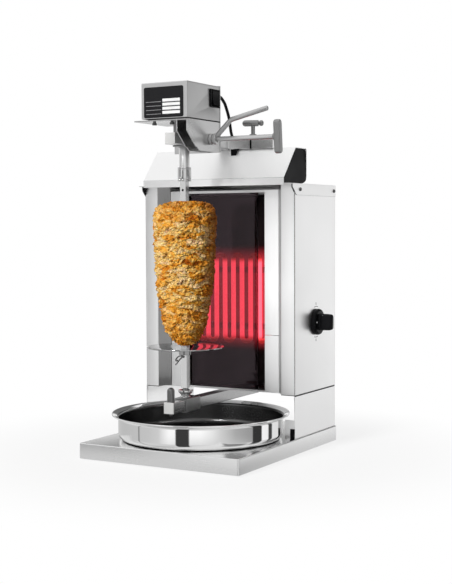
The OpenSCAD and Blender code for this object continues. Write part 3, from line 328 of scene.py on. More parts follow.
def meat_material():
    s = Shade("meat")
    cell, small, groove_shade, char, height = (s.attribute(n) for n in ("cell", "small", "groove_shade", "char", "height"))
    fibre = s.noise(380.0, 4.0, 0.65, (1.0, 1.0, 2.4), 0.5)
    blotch = s.noise(60.0, 4.0, 0.6)
    grains = s.voronoi(420.0, (1.0, 1.0, 1.5))
    tone = s.plus(s.times(cell, 0.42), s.times(small, 0.36))
    tone = s.plus(tone, s.times(blotch, 0.26))
    body = s.ramp(tone, [
        (0.20, (0.50, 0.120, 0.006)), (0.34, (0.90, 0.380, 0.030)), (0.46, (0.98, 0.560, 0.110)),
        (0.60, (1.00, 0.700, 0.240)), (0.74, (1.00, 0.770, 0.400)), (0.90, (1.00, 0.600, 0.300))
    ])
    orange = s.ramp(tone, [(0.15, (0.44, 0.110, 0.005)), (0.5, (0.90, 0.340, 0.014)), (0.85, (1.00, 0.56, 0.06))])
    spice = s.math("MAXIMUM", s.span(height, 0.0, 0.42, 1.0, 0.0, True), s.span(height, 0.80, 1.0, 0.0, 0.9, True))
    spice = s.times(spice, s.span(blotch, 0.30, 0.62, 1.0, 0.5))
    body = s.mix(spice, body, orange)
    body = s.mix(s.span(fibre, 0.46, 0.72, 0.0, 0.58), body, (0.48, 0.130, 0.006))
    # the side toward the glass and to the right is darker brown: browning toward the heat, and painted shade on the
    # side away from the key light
    axes = s.axes()
    deep = s.plus(s.times(s.plus(axes[1], BROWN_AND_SHADE_FROM), 0.85), s.times(axes[0], 0.5))
    browned_and_shaded = s.span(s.plus(deep, s.times(blotch, 0.02)), -0.008, 0.042, 0.0, 0.84, True)
    body = s.mix(browned_and_shaded, body, (0.40, 0.110, 0.012))
    patch = s.noise(34.0, 2.0, 0.5, (1.0, 1.0, 1.6), 0.4)
    body = s.mix(s.span(patch, 0.57, 0.69, 0.0, 0.50), body, (0.52, 0.130, 0.006))
    dots = s.noise(520.0, 2.0, 0.5, (1.0, 1.0, 1.3))
    body = s.mix(s.span(dots, 0.59, 0.69, 0.0, 0.80), body, (0.20, 0.036, 0.002))
    # painted shade in the grooves between flakes and on sunken flakes
    body = s.mix(s.span(groove_shade, 0.05, 0.60, 0.0, 0.92), body, (0.11, 0.018, 0.001))
    body = s.mix(s.span(char, 0.25, 1.0, 0.0, 0.80), body, (0.060, 0.016, 0.003))
    s.set(Base_Color=body, Subsurface_Weight=0.10, Subsurface_Scale=0.003, Subsurface_Radius=(1.0, 0.28, 0.10),
          Specular_IOR_Level=0.05, Roughness=s.plus(s.span(blotch, 0.3, 0.7, 0.30, 0.55), s.times(char, 0.2)))
    s.bump((s.noise(1000.0, 3.0, 0.6), 0.0003, 0.6), (grains, 0.0010, 0.7), (fibre, 0.0013, 0.8))
    return s.mat


def label_material():
    s = Shade("dark_label")
    fleck = s.noise(500.0, 2.0, 0.5)
    two_tone(s, fleck, (0.010, 0.010, 0.011), (0.015, 0.015, 0.016))
    s.set(Roughness=s.span(fleck, 0.3, 0.7, 0.30, 0.40), Specular_IOR_Level=0.16)
    s.bump((fleck, 0.00001, 0.3))
    return s.mat


MAT = {
    "panel_z": metal("panel_steel_upright", 0.90, 0.36, "z", wave=0.00012, spots=0.015),
    "panel_x": metal("panel_steel_level", 0.84, 0.42, "x", wave=0.0001, spots=0.015),
    # a lighter copy of the panel steel for faces that look sideways: painted light
    "side": metal("side_steel_painted_light", 0.95, 0.34, "z", wave=0.0001, spots=0.012),
    # the bends are painted darker: a painted dark reflection along the folds
    "fold": metal("fold_painted_reflection", 0.42, 0.22, None, 1300.0, 0.00001),
    "shade": metal("shaded_seam", 0.06, 0.5, None, 1300.0, 0.00001),
    "hood": metal("hood_steel", 0.96, 0.50, "x", wave=0.0001, spots=0.012),
    "base": metal("base_steel", 0.82, 0.30, "x", wave=0.0001, spots=0.02),
    "base_top": metal("base_top_steel", 0.86, 0.20, "x", wave=0.0001, spots=0.02),
    "panel_y": metal("panel_steel_deep", 0.93, 0.36, "y", wave=0.0001, spots=0.015),
    # a darker copy of the panel steel: painted shade on the reveals
    "reveal": metal("reveal_steel_painted_shade", 0.50, 0.30, "z", wave=0.0002),
    "tube": metal("tube_steel", 0.84, 0.30, "y", 1100.0),
    # a darker copy of the tube steel: painted shade on the lower arm
    "tube_low": metal("low_tube_painted_shade", 0.46, 0.24, "y", 1100.0),
    "tube_x": metal("tube_steel_level", 0.72, 0.24, "x", 1100.0),
    # the cover steel at two values: painted shade on the sides and top, painted light on the front
    "cover": metal("cover_steel", 0.52, 0.32, "x", 1100.0, wave=0.0002),
    "cover_front": metal("cover_steel_painted_light", 0.74, 0.32, "x", 1100.0, wave=0.0001),
    "bracket": metal("bracket_steel", 0.60, 0.28, "x", 1100.0, wave=0.0003),
    "polished": metal("polished_steel", 0.58, 0.17, None, 700.0, 0.000004, spots=0.01),
    "rod": metal("rod_steel", 0.92, 0.16, "z", 900.0, 0.000006, spots=0.01),
    # a darker copy of the rod steel: painted shade on the rod's sides
    "shaded_rod_side": metal("rod_steel_painted_shade", 0.54, 0.16, "z", 900.0, 0.000006, spots=0.01),
    "drive_tube": metal("drive_tube_steel", 0.76, 0.34, "z", 900.0, 0.000006, spots=0.02),
    "spindle": metal("spindle_steel", 0.56, 0.16, None, 700.0, 0.000004, spots=0.01),
    "pan": metal("polished_pan", 0.84, 0.045, None, 700.0, 0.000003, spots=0.01, wave=0.0001),
    # a dark copy of the pan steel: painted dark reflection inside the pan and a painted contact shadow under it
    "pan_painted_shade": metal("pan_steel_painted_shade", 0.15, 0.24, None, 700.0, 0.00001, spots=0.05, wave=0.0004),
    "disc": metal("polished_disc", 0.38, 0.07, None, 700.0, 0.000003, spots=0.02),
    "grey_metal": metal("grey_metal", 0.42, 0.34, None, 1300.0, 0.00003),
    "lever": metal("lever_metal", 0.52, 0.30, None, 1300.0, 0.00003),
    "cast": metal("cast_grip", 0.34, 0.42, None, 1500.0, 0.00005),
    "t_screw": metal("t_screw_metal", 0.28, 0.38, None, 1500.0, 0.00005),
    "stop_screw": metal("stop_screw_metal", 0.18, 0.36, None, 1500.0, 0.00004),
    "small": metal("small_steel", 0.55, 0.24, None, 1500.0, 0.00001),
    "clip": metal("clip_wire", 0.25, 0.24, None, 1500.0, 0.00001),
    "dark_screw": metal("dark_screw", 0.12, 0.34, None, 1500.0, 0.00002),
    "slider": metal("slider_steel", 0.30, 0.30, "y", 1200.0),
    "reflector": reflector_material(),
    # near black: painted shade inside the reflector box
    "box_painted_shade": metal("box_sides_painted_shade", 0.05, 0.45, "z", 500.0),
    "black": plastic("black_plastic", (0.008, 0.008, 0.009), 0.42),
    "gloss_black": plastic("gloss_black_plastic", (0.006, 0.006, 0.007), 0.16),
    "rubber": plastic("black_rubber", (0.009, 0.009, 0.010), 0.60, 900.0, 0.00008),
    "white": plastic("white_plastic", (0.58, 0.58, 0.57), 0.38, 900.0, 0.00002),
    "label": label_material(),
    "pale_print": plastic("pale_print", (0.86, 0.86, 0.85), 0.5, 900.0, 0.000004),
    "dim_print": plastic("dim_print", (0.38, 0.38, 0.39), 0.5, 900.0, 0.000004),
    "dark_print": plastic("dark_print", (0.03, 0.03, 0.03), 0.5, 900.0, 0.000004),
    "glass": glass_material(),
    "element": element_material(),
    "ceramic_painted_glow": ceramic_painted_glow(),
    "ceramic": matte("ceramic", (0.20, 0.18, 0.16), 0.6, 300.0, 0.0002, 0.06),
    "insulation": matte("insulation", (0.50, 0.47, 0.42), 0.95, 120.0, 0.0012, 0.08),
    "wire": plastic("wire", (0.42, 0.03, 0.02), 0.42, 900.0, 0.00002),
    "motor_paint": matte("motor_paint", (0.05, 0.075, 0.13), 0.45, 500.0, 0.00008, 0.1),
    "regulator": plastic("regulator", (0.035, 0.035, 0.04), 0.45),
    "meat": meat_material(),
}


# ---------------------------------------------------------------- mesh helpers
def new_piece(name, verts, faces, mat, angle=35.0):
    me = bpy.data.meshes.new(name)
    me.from_pydata([tuple(v) for v in verts], [], [tuple(f) for f in faces])
    me.update()
    bm = bmesh.new()
    bm.from_mesh(me)
    bmesh.ops.recalc_face_normals(bm, faces=bm.faces)
    bm.to_mesh(me)
    bm.free()
    ob = add(name, me)
    for m in mat if isinstance(mat, (list, tuple)) else [mat]:
        me.materials.append(MAT[m] if isinstance(m, str) else m)
    me.shade_smooth()
    if angle:
        me.set_sharp_from_angle(angle=math.radians(angle))
    return ob


def paint(ob, slot, test):
    """Gives the faces that test(centre, normal) picks, both in mm, the material in a slot of the piece."""
    for p in ob.data.polygons:
        if test(p.center / MM, p.normal):
            p.material_index = slot
    return ob


def recoat(ob, mat, test):
    """Another material on the faces that test picks."""
    ob.data.materials.append(MAT[mat])
    return paint(ob, len(ob.data.materials) - 1, test)


def stand_for(ob, body, slot, *nodes):
    if nodes:
        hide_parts(*nodes)
    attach(ob, body)
    return ob


def bevel(ob, width, segments=3, angle=30.0, weights=False):
    m = ob.modifiers.new("edges", "BEVEL")
    m.width = width * MM
    m.segments = segments
    m.limit_method = "WEIGHT" if weights else "ANGLE"
    m.angle_limit = math.radians(angle)
    m.harden_normals = True
    m.use_clamp_overlap = True
    m.miter_outer = "MITER_ARC"
    return ob


def loop_faces(a, b, n, closed=True):
    """Quads between two rings of n corners that start at a and b."""
    last = n if closed else n - 1
    return [(a + i, a + (i + 1) % n, b + (i + 1) % n, b + i) for i in range(last)]


def tube_faces(n, count):
    """Quads along count rings of n corners, and a face at each end."""
    faces = [f for i in range(count - 1) for f in loop_faces(i * n, (i + 1) * n, n)]
    return faces + [tuple(range(n))[::-1], tuple(range((count - 1) * n, count * n))]


def arc2(cx, cy, r, a0, a1, n):
    turns = [a0 + (a1 - a0) * i / n for i in range(n + 1)]
    return [(cx + r * cosd(a), cy + r * sind(a)) for a in turns]


def fillet(points, radii, n=6, closed=False):
    """Rounds the corners of a path in a plane. radii is one number or one for each point."""
    if not isinstance(radii, (list, tuple)):
        radii = [radii] * len(points)
    out = []
    count = len(points)
    for i, (p, r) in enumerate(zip(points, radii)):
        if (not closed and i in (0, count - 1)) or r <= 0:
            out.append(tuple(p))
            continue
        p = np.array(p, float)
        a = np.array(points[i - 1], float) - p
        b = np.array(points[(i + 1) % count], float) - p
        la, lb = np.linalg.norm(a), np.linalg.norm(b)
        a, b = a / la, b / lb
        half = math.acos(max(-1.0, min(1.0, float(a @ b)))) / 2
        if half > math.radians(89.5):
            out.append(tuple(p))
            continue
        t = min(r / math.tan(half), 0.49 * la, 0.49 * lb)
        r = t * math.tan(half)
        mid = (a + b) / np.linalg.norm(a + b)
        c = p + mid * r / math.sin(half)
        s, e = p + a * t - c, p + b * t - c
        a0, a1 = math.atan2(s[1], s[0]), math.atan2(e[1], e[0])
        d = (a1 - a0 + math.pi) % (2 * math.pi) - math.pi
        out += [(c[0] + r * math.cos(a0 + d * k / n), c[1] + r * math.sin(a0 + d * k / n)) for k in range(n + 1)]
    return out


def offset_path(points, t):
    """The path moved t to its left, its corners mitred."""
    out = []
    for i, p in enumerate(points):
        p = np.array(p, float)
        d = []
        if i > 0:
            v = p - np.array(points[i - 1], float)
            d.append(v / np.linalg.norm(v))
        if i < len(points) - 1:
            v = np.array(points[i + 1], float) - p
            d.append(v / np.linalg.norm(v))
        n = sum(np.array([-v[1], v[0]]) for v in d)
        n = n / np.linalg.norm(n)
        c = float(n @ np.array([-d[0][1], d[0][0]]))
        out.append(tuple(p + n * t / c))
    return out


def place(axis, along, a, b):
    """A point from its place along an axis and its two places in the plane square to it, in mm."""
    if axis == "x":
        return mm(along, a, b)
    if axis == "y":
        return mm(a, along, b)
    return mm(a, b, along)


def folded(name, path, t, axis, lo, hi, mat, cuts=1):
    """A folded sheet: a path in the plane square to the axis, t thick on its left, and as long as lo to hi."""
    inner = offset_path(path, t)
    n = len(path)
    verts, faces = [], []
    for k in range(cuts + 1):
        along = lo + (hi - lo) * k / cuts
        verts += [place(axis, along, *p) for p in path] + [place(axis, along, *p) for p in inner]
    for k in range(cuts):
        a, b = 2 * n * k, 2 * n * (k + 1)
        faces += loop_faces(a, b, n, False)
        faces += loop_faces(b + n, a + n, n, False)
        faces += [(a, b, b + n, a + n), (a + n - 1, a + 2 * n - 1, b + 2 * n - 1, b + n - 1)]
    for a in (0, 2 * n * cuts):
        faces += [(a + i, a + i + 1, a + n + i + 1, a + n + i) for i in range(n - 1)]
    return new_piece(name, verts, faces, mat)


def oblong(a0, a1, b0, b1):
    return [(a0, b0), (a1, b0), (a1, b1), (a0, b1)]


def prism(name, outline, axis, lo, hi, mat, edge=0.4, segments=3, shift=None):
    """A solid of one outline, its edges rounded."""
    n = len(outline)
    verts = [place(axis, lo, *p) for p in outline]
    verts += [place(axis, hi + (shift(*p) if shift else 0.0), *p) for p in outline]
    ob = new_piece(name, verts, tube_faces(n, 2), mat, 30)
    if edge:
        bevel(ob, edge, segments, 40)
    return ob


def lathe(name, profile, mat, centre=(0, 0, 0), axis="z", n=96, angle=35.0):
    """A turned piece. The profile is (radius, place along the axis), in mm."""
    verts, faces, rings = [], [], []
    for r, h in profile:
        if abs(r) < 1e-6:
            rings.append((len(verts), 1))
            ring = [(0.0, 0.0, h)]
        else:
            rings.append((len(verts), n))
            ring = [(r * math.cos(2 * math.pi * k / n), r * math.sin(2 * math.pi * k / n), h) for k in range(n)]
        verts += ring
    for (a, na), (b, nb) in zip(rings, rings[1:] + rings[:1]):
        if na == 1 and nb == 1:
            continue
        if na == 1:
            faces += [(a, b + k, b + (k + 1) % n) for k in range(n)]
        elif nb == 1:
            faces += [(a + k, b, a + (k + 1) % n) for k in range(n)]
        else:
            faces += loop_faces(a, b, n)
    placed = []
    for x, y, z in verts:
        if axis == "x":
            x, y, z = z, x, y
        elif axis == "-y":
            x, y, z = x, -z, y
        elif axis == "y":
            x, y, z = y, z, x
        placed.append(mm(x + centre[0], y + centre[1], z + centre[2]))
    return new_piece(name, placed, faces, mat, angle)


def round_profile(points, r, n=4):
    """The corners of a turned profile rounded, apart from those on its axis."""
    return fillet(points, [0 if abs(p[0]) < 1e-6 else r for p in points], n, closed=True)


def turned(name, points, r, steps, mat, *where, **more):
    """A turned piece whose corners are rounded to r."""
    return lathe(name, round_profile(points, r, steps), mat, *where, **more)


def catmull(points, steps):
    p = [Vector(q) for q in points]
    out = []
    for i in range(len(p) - 1):
        a, b, c, d = p[max(i - 1, 0)], p[i], p[i + 1], p[min(i + 2, len(p) - 1)]
        for k in range(steps):
            t = k / steps
            bend, twist = 2 * a - 5 * b + 4 * c - d, 3 * b - a - 3 * c + d
            out.append(0.5 * (2 * b + (c - a) * t + bend * t * t + twist * t ** 3))
    return out + [p[-1]]


def fillet3(points, radii, n=8):
    """Rounds the corners of a path in space."""
    p = [Vector(q) for q in points]
    out = [p[0]]
    for i in range(1, len(p) - 1):
        a, b = (p[i - 1] - p[i]), (p[i + 1] - p[i])
        la, lb = a.length, b.length
        a, b = a / la, b / lb
        half = a.angle(b) / 2
        t = min(radii[i - 1] / math.tan(half), 0.49 * la, 0.49 * lb)
        r = t * math.tan(half)
        c = p[i] + (a + b).normalized() * (r / math.sin(half))
        s, e = p[i] + a * t - c, p[i] + b * t - c
        turn = s.angle(e)
        w = (e - s * math.cos(turn)) / math.sin(turn)
        out += [c + s * math.cos(turn * k / n) + w * math.sin(turn * k / n) for k in range(n + 1)]
    return out + [p[-1]]


def sweep(name, points, radius, mat, sides=24, caps=3, angle=40.0):
    """A round rod along points in mm, with rounded ends."""
    p = [Vector(q) for q in points]
    last = len(p) - 1
    heads = [(p[min(i + 1, last)] - p[max(i - 1, 0)]).normalized() for i in range(last + 1)]
    u = heads[0].orthogonal().normalized()
    rings = []
    for q, h in zip(p, heads):
        u = (u - h * u.dot(h)).normalized()
        rings.append([q, h, u.copy(), radius])
    if caps:
        def moved(ring, way, share, r):
            q, h, u, _ = ring
            return [q + h * radius * 0.5 * share * way, h, u, r]
        first, end = rings[0], rings[-1]
        turns = [math.pi / 2 * k / (caps + 0.35) for k in range(caps, 0, -1)] + [0.0]
        lead = [moved(first, 1, 1 - math.sin(a), radius * math.cos(a)) for a in turns]
        tail = [moved(end, -1, 1 - math.sin(a), radius * math.cos(a)) for a in turns[::-1]]
        rings = lead + rings[1:-1] + tail
    verts = []
    round_it = [2 * math.pi * k / sides for k in range(sides)]
    for q, h, u, r in rings:
        w = h.cross(u)
        verts += [tuple((q + (u * math.cos(a) + w * math.sin(a)) * r) * MM) for a in round_it]
    return new_piece(name, verts, tube_faces(sides, len(rings)), mat, angle)


def joined(name, parts):
    """Several pieces as one object, their materials kept."""
    for o in bpy.context.selected_objects:
        o.select_set(False)
    for o in parts:
        for m in list(o.modifiers):
            bpy.context.view_layer.objects.active = o
            bpy.ops.object.modifier_apply(modifier=m.name)
        o.select_set(True)
    bpy.context.view_layer.objects.active = parts[0]
    bpy.ops.object.join()
    parts[0].name = parts[0].data.name = name
    parts[0].select_set(False)
    return parts[0]


def soften(node, mat, body, slot, width=0.3, segments=2, outer=None, outer_width=None, plain=False):
    """A copy of a CAD node with rounded edges. Edges that outer(p, q) picks are rounded to outer_width."""
    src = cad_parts[node]
    bm = bmesh.new()
    bm.from_mesh(src.data)
    bmesh.ops.remove_doubles(bm, verts=bm.verts, dist=2e-6)
    bmesh.ops.dissolve_limit(bm, angle_limit=math.radians(0.6), verts=bm.verts, edges=bm.edges, delimit={"NORMAL"})
    if outer is not None:
        layer = bm.edges.layers.float.get("bevel_weight_edge") or bm.edges.layers.float.new("bevel_weight_edge")
        for e in bm.edges:
            if len(e.link_faces) != 2 or e.calc_face_angle(0.0) < math.radians(30):
                continue
            big = outer(e.verts[0].co / MM, e.verts[1].co / MM)
            e[layer] = 1.0 if big else width / outer_width
    me = bpy.data.meshes.new(node + "_soft")
    bm.to_mesh(me)
    bm.free()
    ob = add(node + "_soft", me)
    me.materials.clear()
    me.materials.append(MAT[mat])
    if plain:
        me.shade_flat()
    else:
        me.shade_smooth()
        me.set_sharp_from_angle(angle=math.radians(30))
        bevel(ob, outer_width if outer is not None else width, segments, 30, outer is not None)
    return stand_for(ob, body, slot, node)


def long_edges(axis, middle, half, least, near=0.2):
    """Picks a square tube's outer edges along an axis. middle is its place on the two other axes."""
    others = [i for i in range(3) if i != axis]

    def pick(p, q):
        on_edge = all(abs(abs(v[i] - m) - half) < near for v in (p, q) for i, m in zip(others, middle))
        return on_edge and abs((q - p)[axis]) > least
    return pick


# ---------------------------------------------------------------- base and housing
HW = 151.5
FRONT, BACK = 19.0, 184.0
SEAM, TOP = 104.6, 467.0
BASE_TOP = 29.5
SHEET = 1.2
# the two arms and the support across the upper one: square tubes
ARM_Z, LOW_ARM_Z, ARM_HALF = 538.8, 93.9, 9.5
SUPPORT_Y = 50.0
SPINDLE_Y = -79.0
KNOB_Y, KNOB_Z = 103.15, 225.5
SPIT_Y, ROD_HALF, SLIDER_HALF = -91.0, 5.5, 12.02
PAN_Y = -41.2
# where the motor lead goes into the housing
LEAD_X, LEAD_Y, LEAD_Z = 3, 72.5, 529.3


def rect_ring(w, d, r, z, per=6):
    r = max(r, 0.3)
    ring = []
    for cx, cy, a in ((w - r, d - r, 0), (-w + r, d - r, 90), (-w + r, -d + r, 180), (w - r, -d + r, 270)):
        ring += [(x, y, z) for x, y in arc2(cx, cy, r, a, a + 90, per)]
    return ring


def rings_piece(name, rings, mat, angle=35.0):
    verts = [mm(*p) for ring in rings for p in ring]
    return new_piece(name, verts, tube_faces(len(rings[0]), len(rings)), mat, angle)


def base_tray():
    w, d, bend, high = 154.5, 185.0, 2.0, BASE_TOP
    rings = [rect_ring(w - 3.2, d - 3.2, 0.6, high - 1.2)]
    rings += [rect_ring(w - 1.2, d - 1.2, 1.8, high - 3.2), rect_ring(w - 1.2, d - 1.2, 1.8, 4.2)]
    rings += [rect_ring(w - 44, d - 44, 1.0, 4.2), rect_ring(w - 44, d - 44, 1.0, 3.0)]
    for a in (0, 30, 60, 90):
        c, s = cosd(a), sind(a)
        rings.append(rect_ring(w - 0.8 * (1 - s), d - 0.8 * (1 - s), 3 - 0.8 * (1 - s), 3 + 0.8 * (1 - c)))
    for a in (0, 18, 36, 54, 72, 90):
        c, s = cosd(a), sind(a)
        rings.append(rect_ring(w - bend * (1 - c), d - bend * (1 - c), 3 - bend * (1 - c), high - bend * (1 - s)))
    ob = rings_piece("base_tray_folded", rings, ["base", "base_top"])
    paint(ob, 1, lambda q, n: n.z > 0.98 and q.z > high - 0.5)
    stand_for(ob, "housing", "panel_steel", "base_tray")
    foot = []
    for sx in (-1, 1):
        for sy in (-1, 1):
            foot.append(turned(f"foot_{sx}_{sy}".replace("-", "m"),
                [(0, 0), (8.6, 0), (10, 3), (3, 3), (3, 4.2), (6, 4.2), (5.2, 6.2), (0, 6.8)], 0.5, 3, "rubber",
                (sx * 122.5, sy * 153, 0), n=40))
    stand_for(joined("rubber_feet_turned", foot), "housing", "black_rubber", "rubber_feet")


def side_sheets():
    path = [(HW, BACK - 1.2), (HW, FRONT), (HW - 26.5, FRONT), (110.5, 40.0), (111.7, 40.0)]
    outer = fillet(path[:4], [0, 1.8, 1.4, 0], 5)
    for side, word in ((1, "right"), (-1, "left")):
        p = [(side * x, y) for x, y in outer]
        ob = folded(f"side_panel_{word}_folded", p, -1.2 * side, "z", SEAM, TOP - 1.2,
                    ["panel_z", "reveal", "side", "fold", "shade"], 8)
        # the angled reveal faces are a darker copy of the panel steel: painted shade
        paint(ob, 1, lambda q, n: abs(n.x) > 0.3 and abs(n.y) > 0.3 and abs(q.x) < HW - 4)
        # the side faces are a lighter copy of the panel steel: painted light
        paint(ob, 2, lambda q, n: abs(n.x) > 0.98)
        # the bends between the columns' fronts and sides are painted darker: a painted dark reflection
        paint(ob, 3, lambda q, n: 0.2 < abs(n.x) < 0.97 and abs(q.x) > HW - 4 and q.y < FRONT + 4)
        bevel(ob, 0.25, 2, 50)
        stand_for(ob, "housing", "panel_steel", f"side_panel_{word}")
        trim = fillet([(10, TOP), (10, TOP - 7), (23, TOP - 20), (BACK, TOP - 20), (BACK, TOP)],
                      [1.2, 6, 7, 0.8, 0.8], 6, True)
        lo, hi = sorted((side * HW, side * (HW + SHEET)))
        ob = prism(f"side_trim_{word}_band", trim, "x", lo, hi, ["panel_y", "shade"], 0.35, 3)
        paint(ob, 1, lambda q, n: n.z < -0.6)
        stand_for(ob, "housing", "panel_steel", f"side_trim_{word}")
        # the lower panels are in the lighter copy of the panel steel: painted light
        panel = soften(f"lower_panel_{word}", "side", "housing", "panel_steel", 0.25)
        recoat(panel, "shade", lambda q, n: q.z > 101.9)
    soften("panel_screws", "dark_screw", "housing", "small_steel", 0.18)
    soften("back_panel", "panel_z", "housing", "panel_steel", plain=True)
    floor = soften("heater_floor", "panel_x", "housing", "panel_steel", 0.25)
    recoat(floor, "shade", lambda q, n: abs(n.z) < 0.5 and abs(q.x) > 100)
    soften("top_plate", "panel_x", "housing", "panel_steel", 0.25)
    # the black pads behind the trims' tips stand in for the shade on the trims' inner faces: painted shade
    soften("bumper_pads", "rubber", "housing", "black_plastic", 0.7, 3)


def hood():
    edge = 86.3
    path = [(-2, 464), (-2, 476.2), (44, 529.3), (87.5, 529.3), (87.5, 479)]
    outer = fillet(path, [0, 1.6, 2.2, 4.0, 0], 6)
    ob = folded("hood_folded", outer, -1.2, "x", -141, 141, ["hood", "fold"], 6)
    # the bend between the fascia and the slope is painted darker: a painted dark reflection
    paint(ob, 1, lambda q, n: 0.35 < n.z < 0.62 and q.y < 3 and n.y < 0)
    bevel(ob, 0.25, 2, 50)
    back = prism("hood_back_low", oblong(edge, 87.5, 467, 479), "x", -128.9, 128.9, "hood", 0, 1)
    ob = joined("hood_folded", [ob, back])
    stand_for(ob, "housing", "panel_steel", "hood")
    lean = 46 / 53.1
    low, knee, band, high = 468.0, 475.6, 519.3, 528.1
    front = -2 + 1.2 + 0.3
    outline = [(front, low), (front, knee)] + [(front + (z - knee) * lean, z) for z in (band, high)]
    outline += [(edge - y, high - z) for y, z in ((5, 0), (3.4, 0.5), (1.5, 1.6), (0.4, 3.2), (0, 5))]
    outline += [(edge, band)] + [(edge - 20 * (1 - cosd(a)), low + 9 * (1 - sind(a))) for a in range(0, 91, 9)]
    for side, word in ((1, "right"), (-1, "left")):
        def shift(y, z, side=side):
            return -side * 3.2 * max(0.0, (z - band) / (high - band))
        ob = prism(f"hood_cap_{word}_moulded", outline, "x", side * 129, side * 141, "black", 0.9, 3, shift)
        stand_for(ob, "housing", "black_plastic", f"hood_cap_{word}")


def glass_front():
    parts = []
    for side in (-1, 1):
        for z0, z1 in ((SEAM, 203.7), (204.5, 457.5)):
            p = [(side * 82.5, 40.0), (side * 110.5, 40.0), (side * 110.5, 56.2)]
            p = fillet(p, [0, 1.4, 0], 5)
            parts.append(bevel(folded(f"strip_{side}_{z0}", p, 1.2 * side, "z", z0, z1, "panel_z", 4), 0.2, 2, 50))
    for z0, z1 in ((SEAM, SEAM + 2), (453.0, 457.5)):
        rail = [(40.0, z0), (40.0, z1), (41.2, z1), (41.2, z0)]
        parts.append(prism(f"rail_{z0}", rail, "x", -82.5, 82.5, "panel_x", 0.2, 2))
    stand_for(joined("glass_frame_strips", parts), "housing", "panel_steel", "glass_frame")
    soften("ceramic_glass", "glass", "housing", "dark_glass", 0.5, 3)
    soften("glass_clips", "small", "housing", "small_steel", 0.2)
    box = soften("reflector_box", "reflector", "housing", "reflector", 0.15)
    # the reflector box's sides and front edge are near black: painted shade inside the box
    recoat(box, "box_painted_shade", lambda q, n: abs(n.y) < 0.5 or q.y < 60)
    for node, mat, slot, width in (
        # the element holders carry a painted glow of the element's light
        ("insulation_board", "insulation", "insulation", 0.8), ("element_holders", "ceramic_painted_glow", "ceramic", 0.4),
        ("terminal_block", "ceramic", "ceramic", 0.8), ("energy_regulator", "regulator", "black_plastic", 0.6)
    ):
        soften(node, mat, "housing", slot, width)


def element():
    pitch, y, r = 17.4, 62.0, 4.2
    low, high = 185.6, 347.6
    xs = [(i - 3.5) * pitch for i in range(8)]
    path = [(xs[0], 121.0, low + r), (xs[0], y, low + r)]
    radii = [6.75]
    for i, x in enumerate(xs):
        up = i % 2 == 0
        if i < 7:
            z = high - r if up else low + r
            path += [(x, y, z), (xs[i + 1], y, z)]
            radii += [pitch / 2 * 0.998, pitch / 2 * 0.998]
    path += [(xs[7], y, low + r), (xs[7], 121.0, low + r)]
    radii += [6.75]
    ob = sweep("heating_element_bent", fillet3(path, radii, 12), r, "element", 20)
    stand_for(ob, "housing", "glowing_element", "heating_element")


def wiring():
    soften("internal_wiring", "wire", "housing", "wire", 0.05, 1)
    gland = (-105, 184, 134.6)
    parts = [turned("gland_nose", [(4, -10), (9, -10), (9, 0), (12, 0), (12, 3), (9.4, 3), (7.2, 12), (4, 12)],
        0.7, 3, "rubber", gland, "y", 48)]
    parts.append(turned("gland_nut", oblong(9, 12, -4.2, -1.2), 0.4, 3, "rubber", gland, "y", 6, 20))
    for k in range(3):
        parts.append(turned(f"gland_rib_{k}", [(8.0 - 0.7 * k, 4.6 + 2.4 * k), (9.5 - 0.75 * k, 5.0 + 2.4 * k),
            (9.3 - 0.75 * k, 6.0 + 2.4 * k), (7.6 - 0.7 * k, 6.2 + 2.4 * k)], 0.3, 3, "rubber",
            gland, "y", 48))
    stand_for(joined("cable_gland_moulded", parts), "housing", "black_rubber", "cable_gland")
    grommet = turned("lead_grommet_moulded", [(2.6, -4), (5, -4), (5, -1.2), (5, 0), (7, 0), (6.4, 3.2), (4.2, 4),
        (2.6, 4)], 0.6, 3, "rubber", (LEAD_X, LEAD_Y, LEAD_Z), n=48)
    stand_for(grommet, "housing", "black_plastic", "lead_grommet")


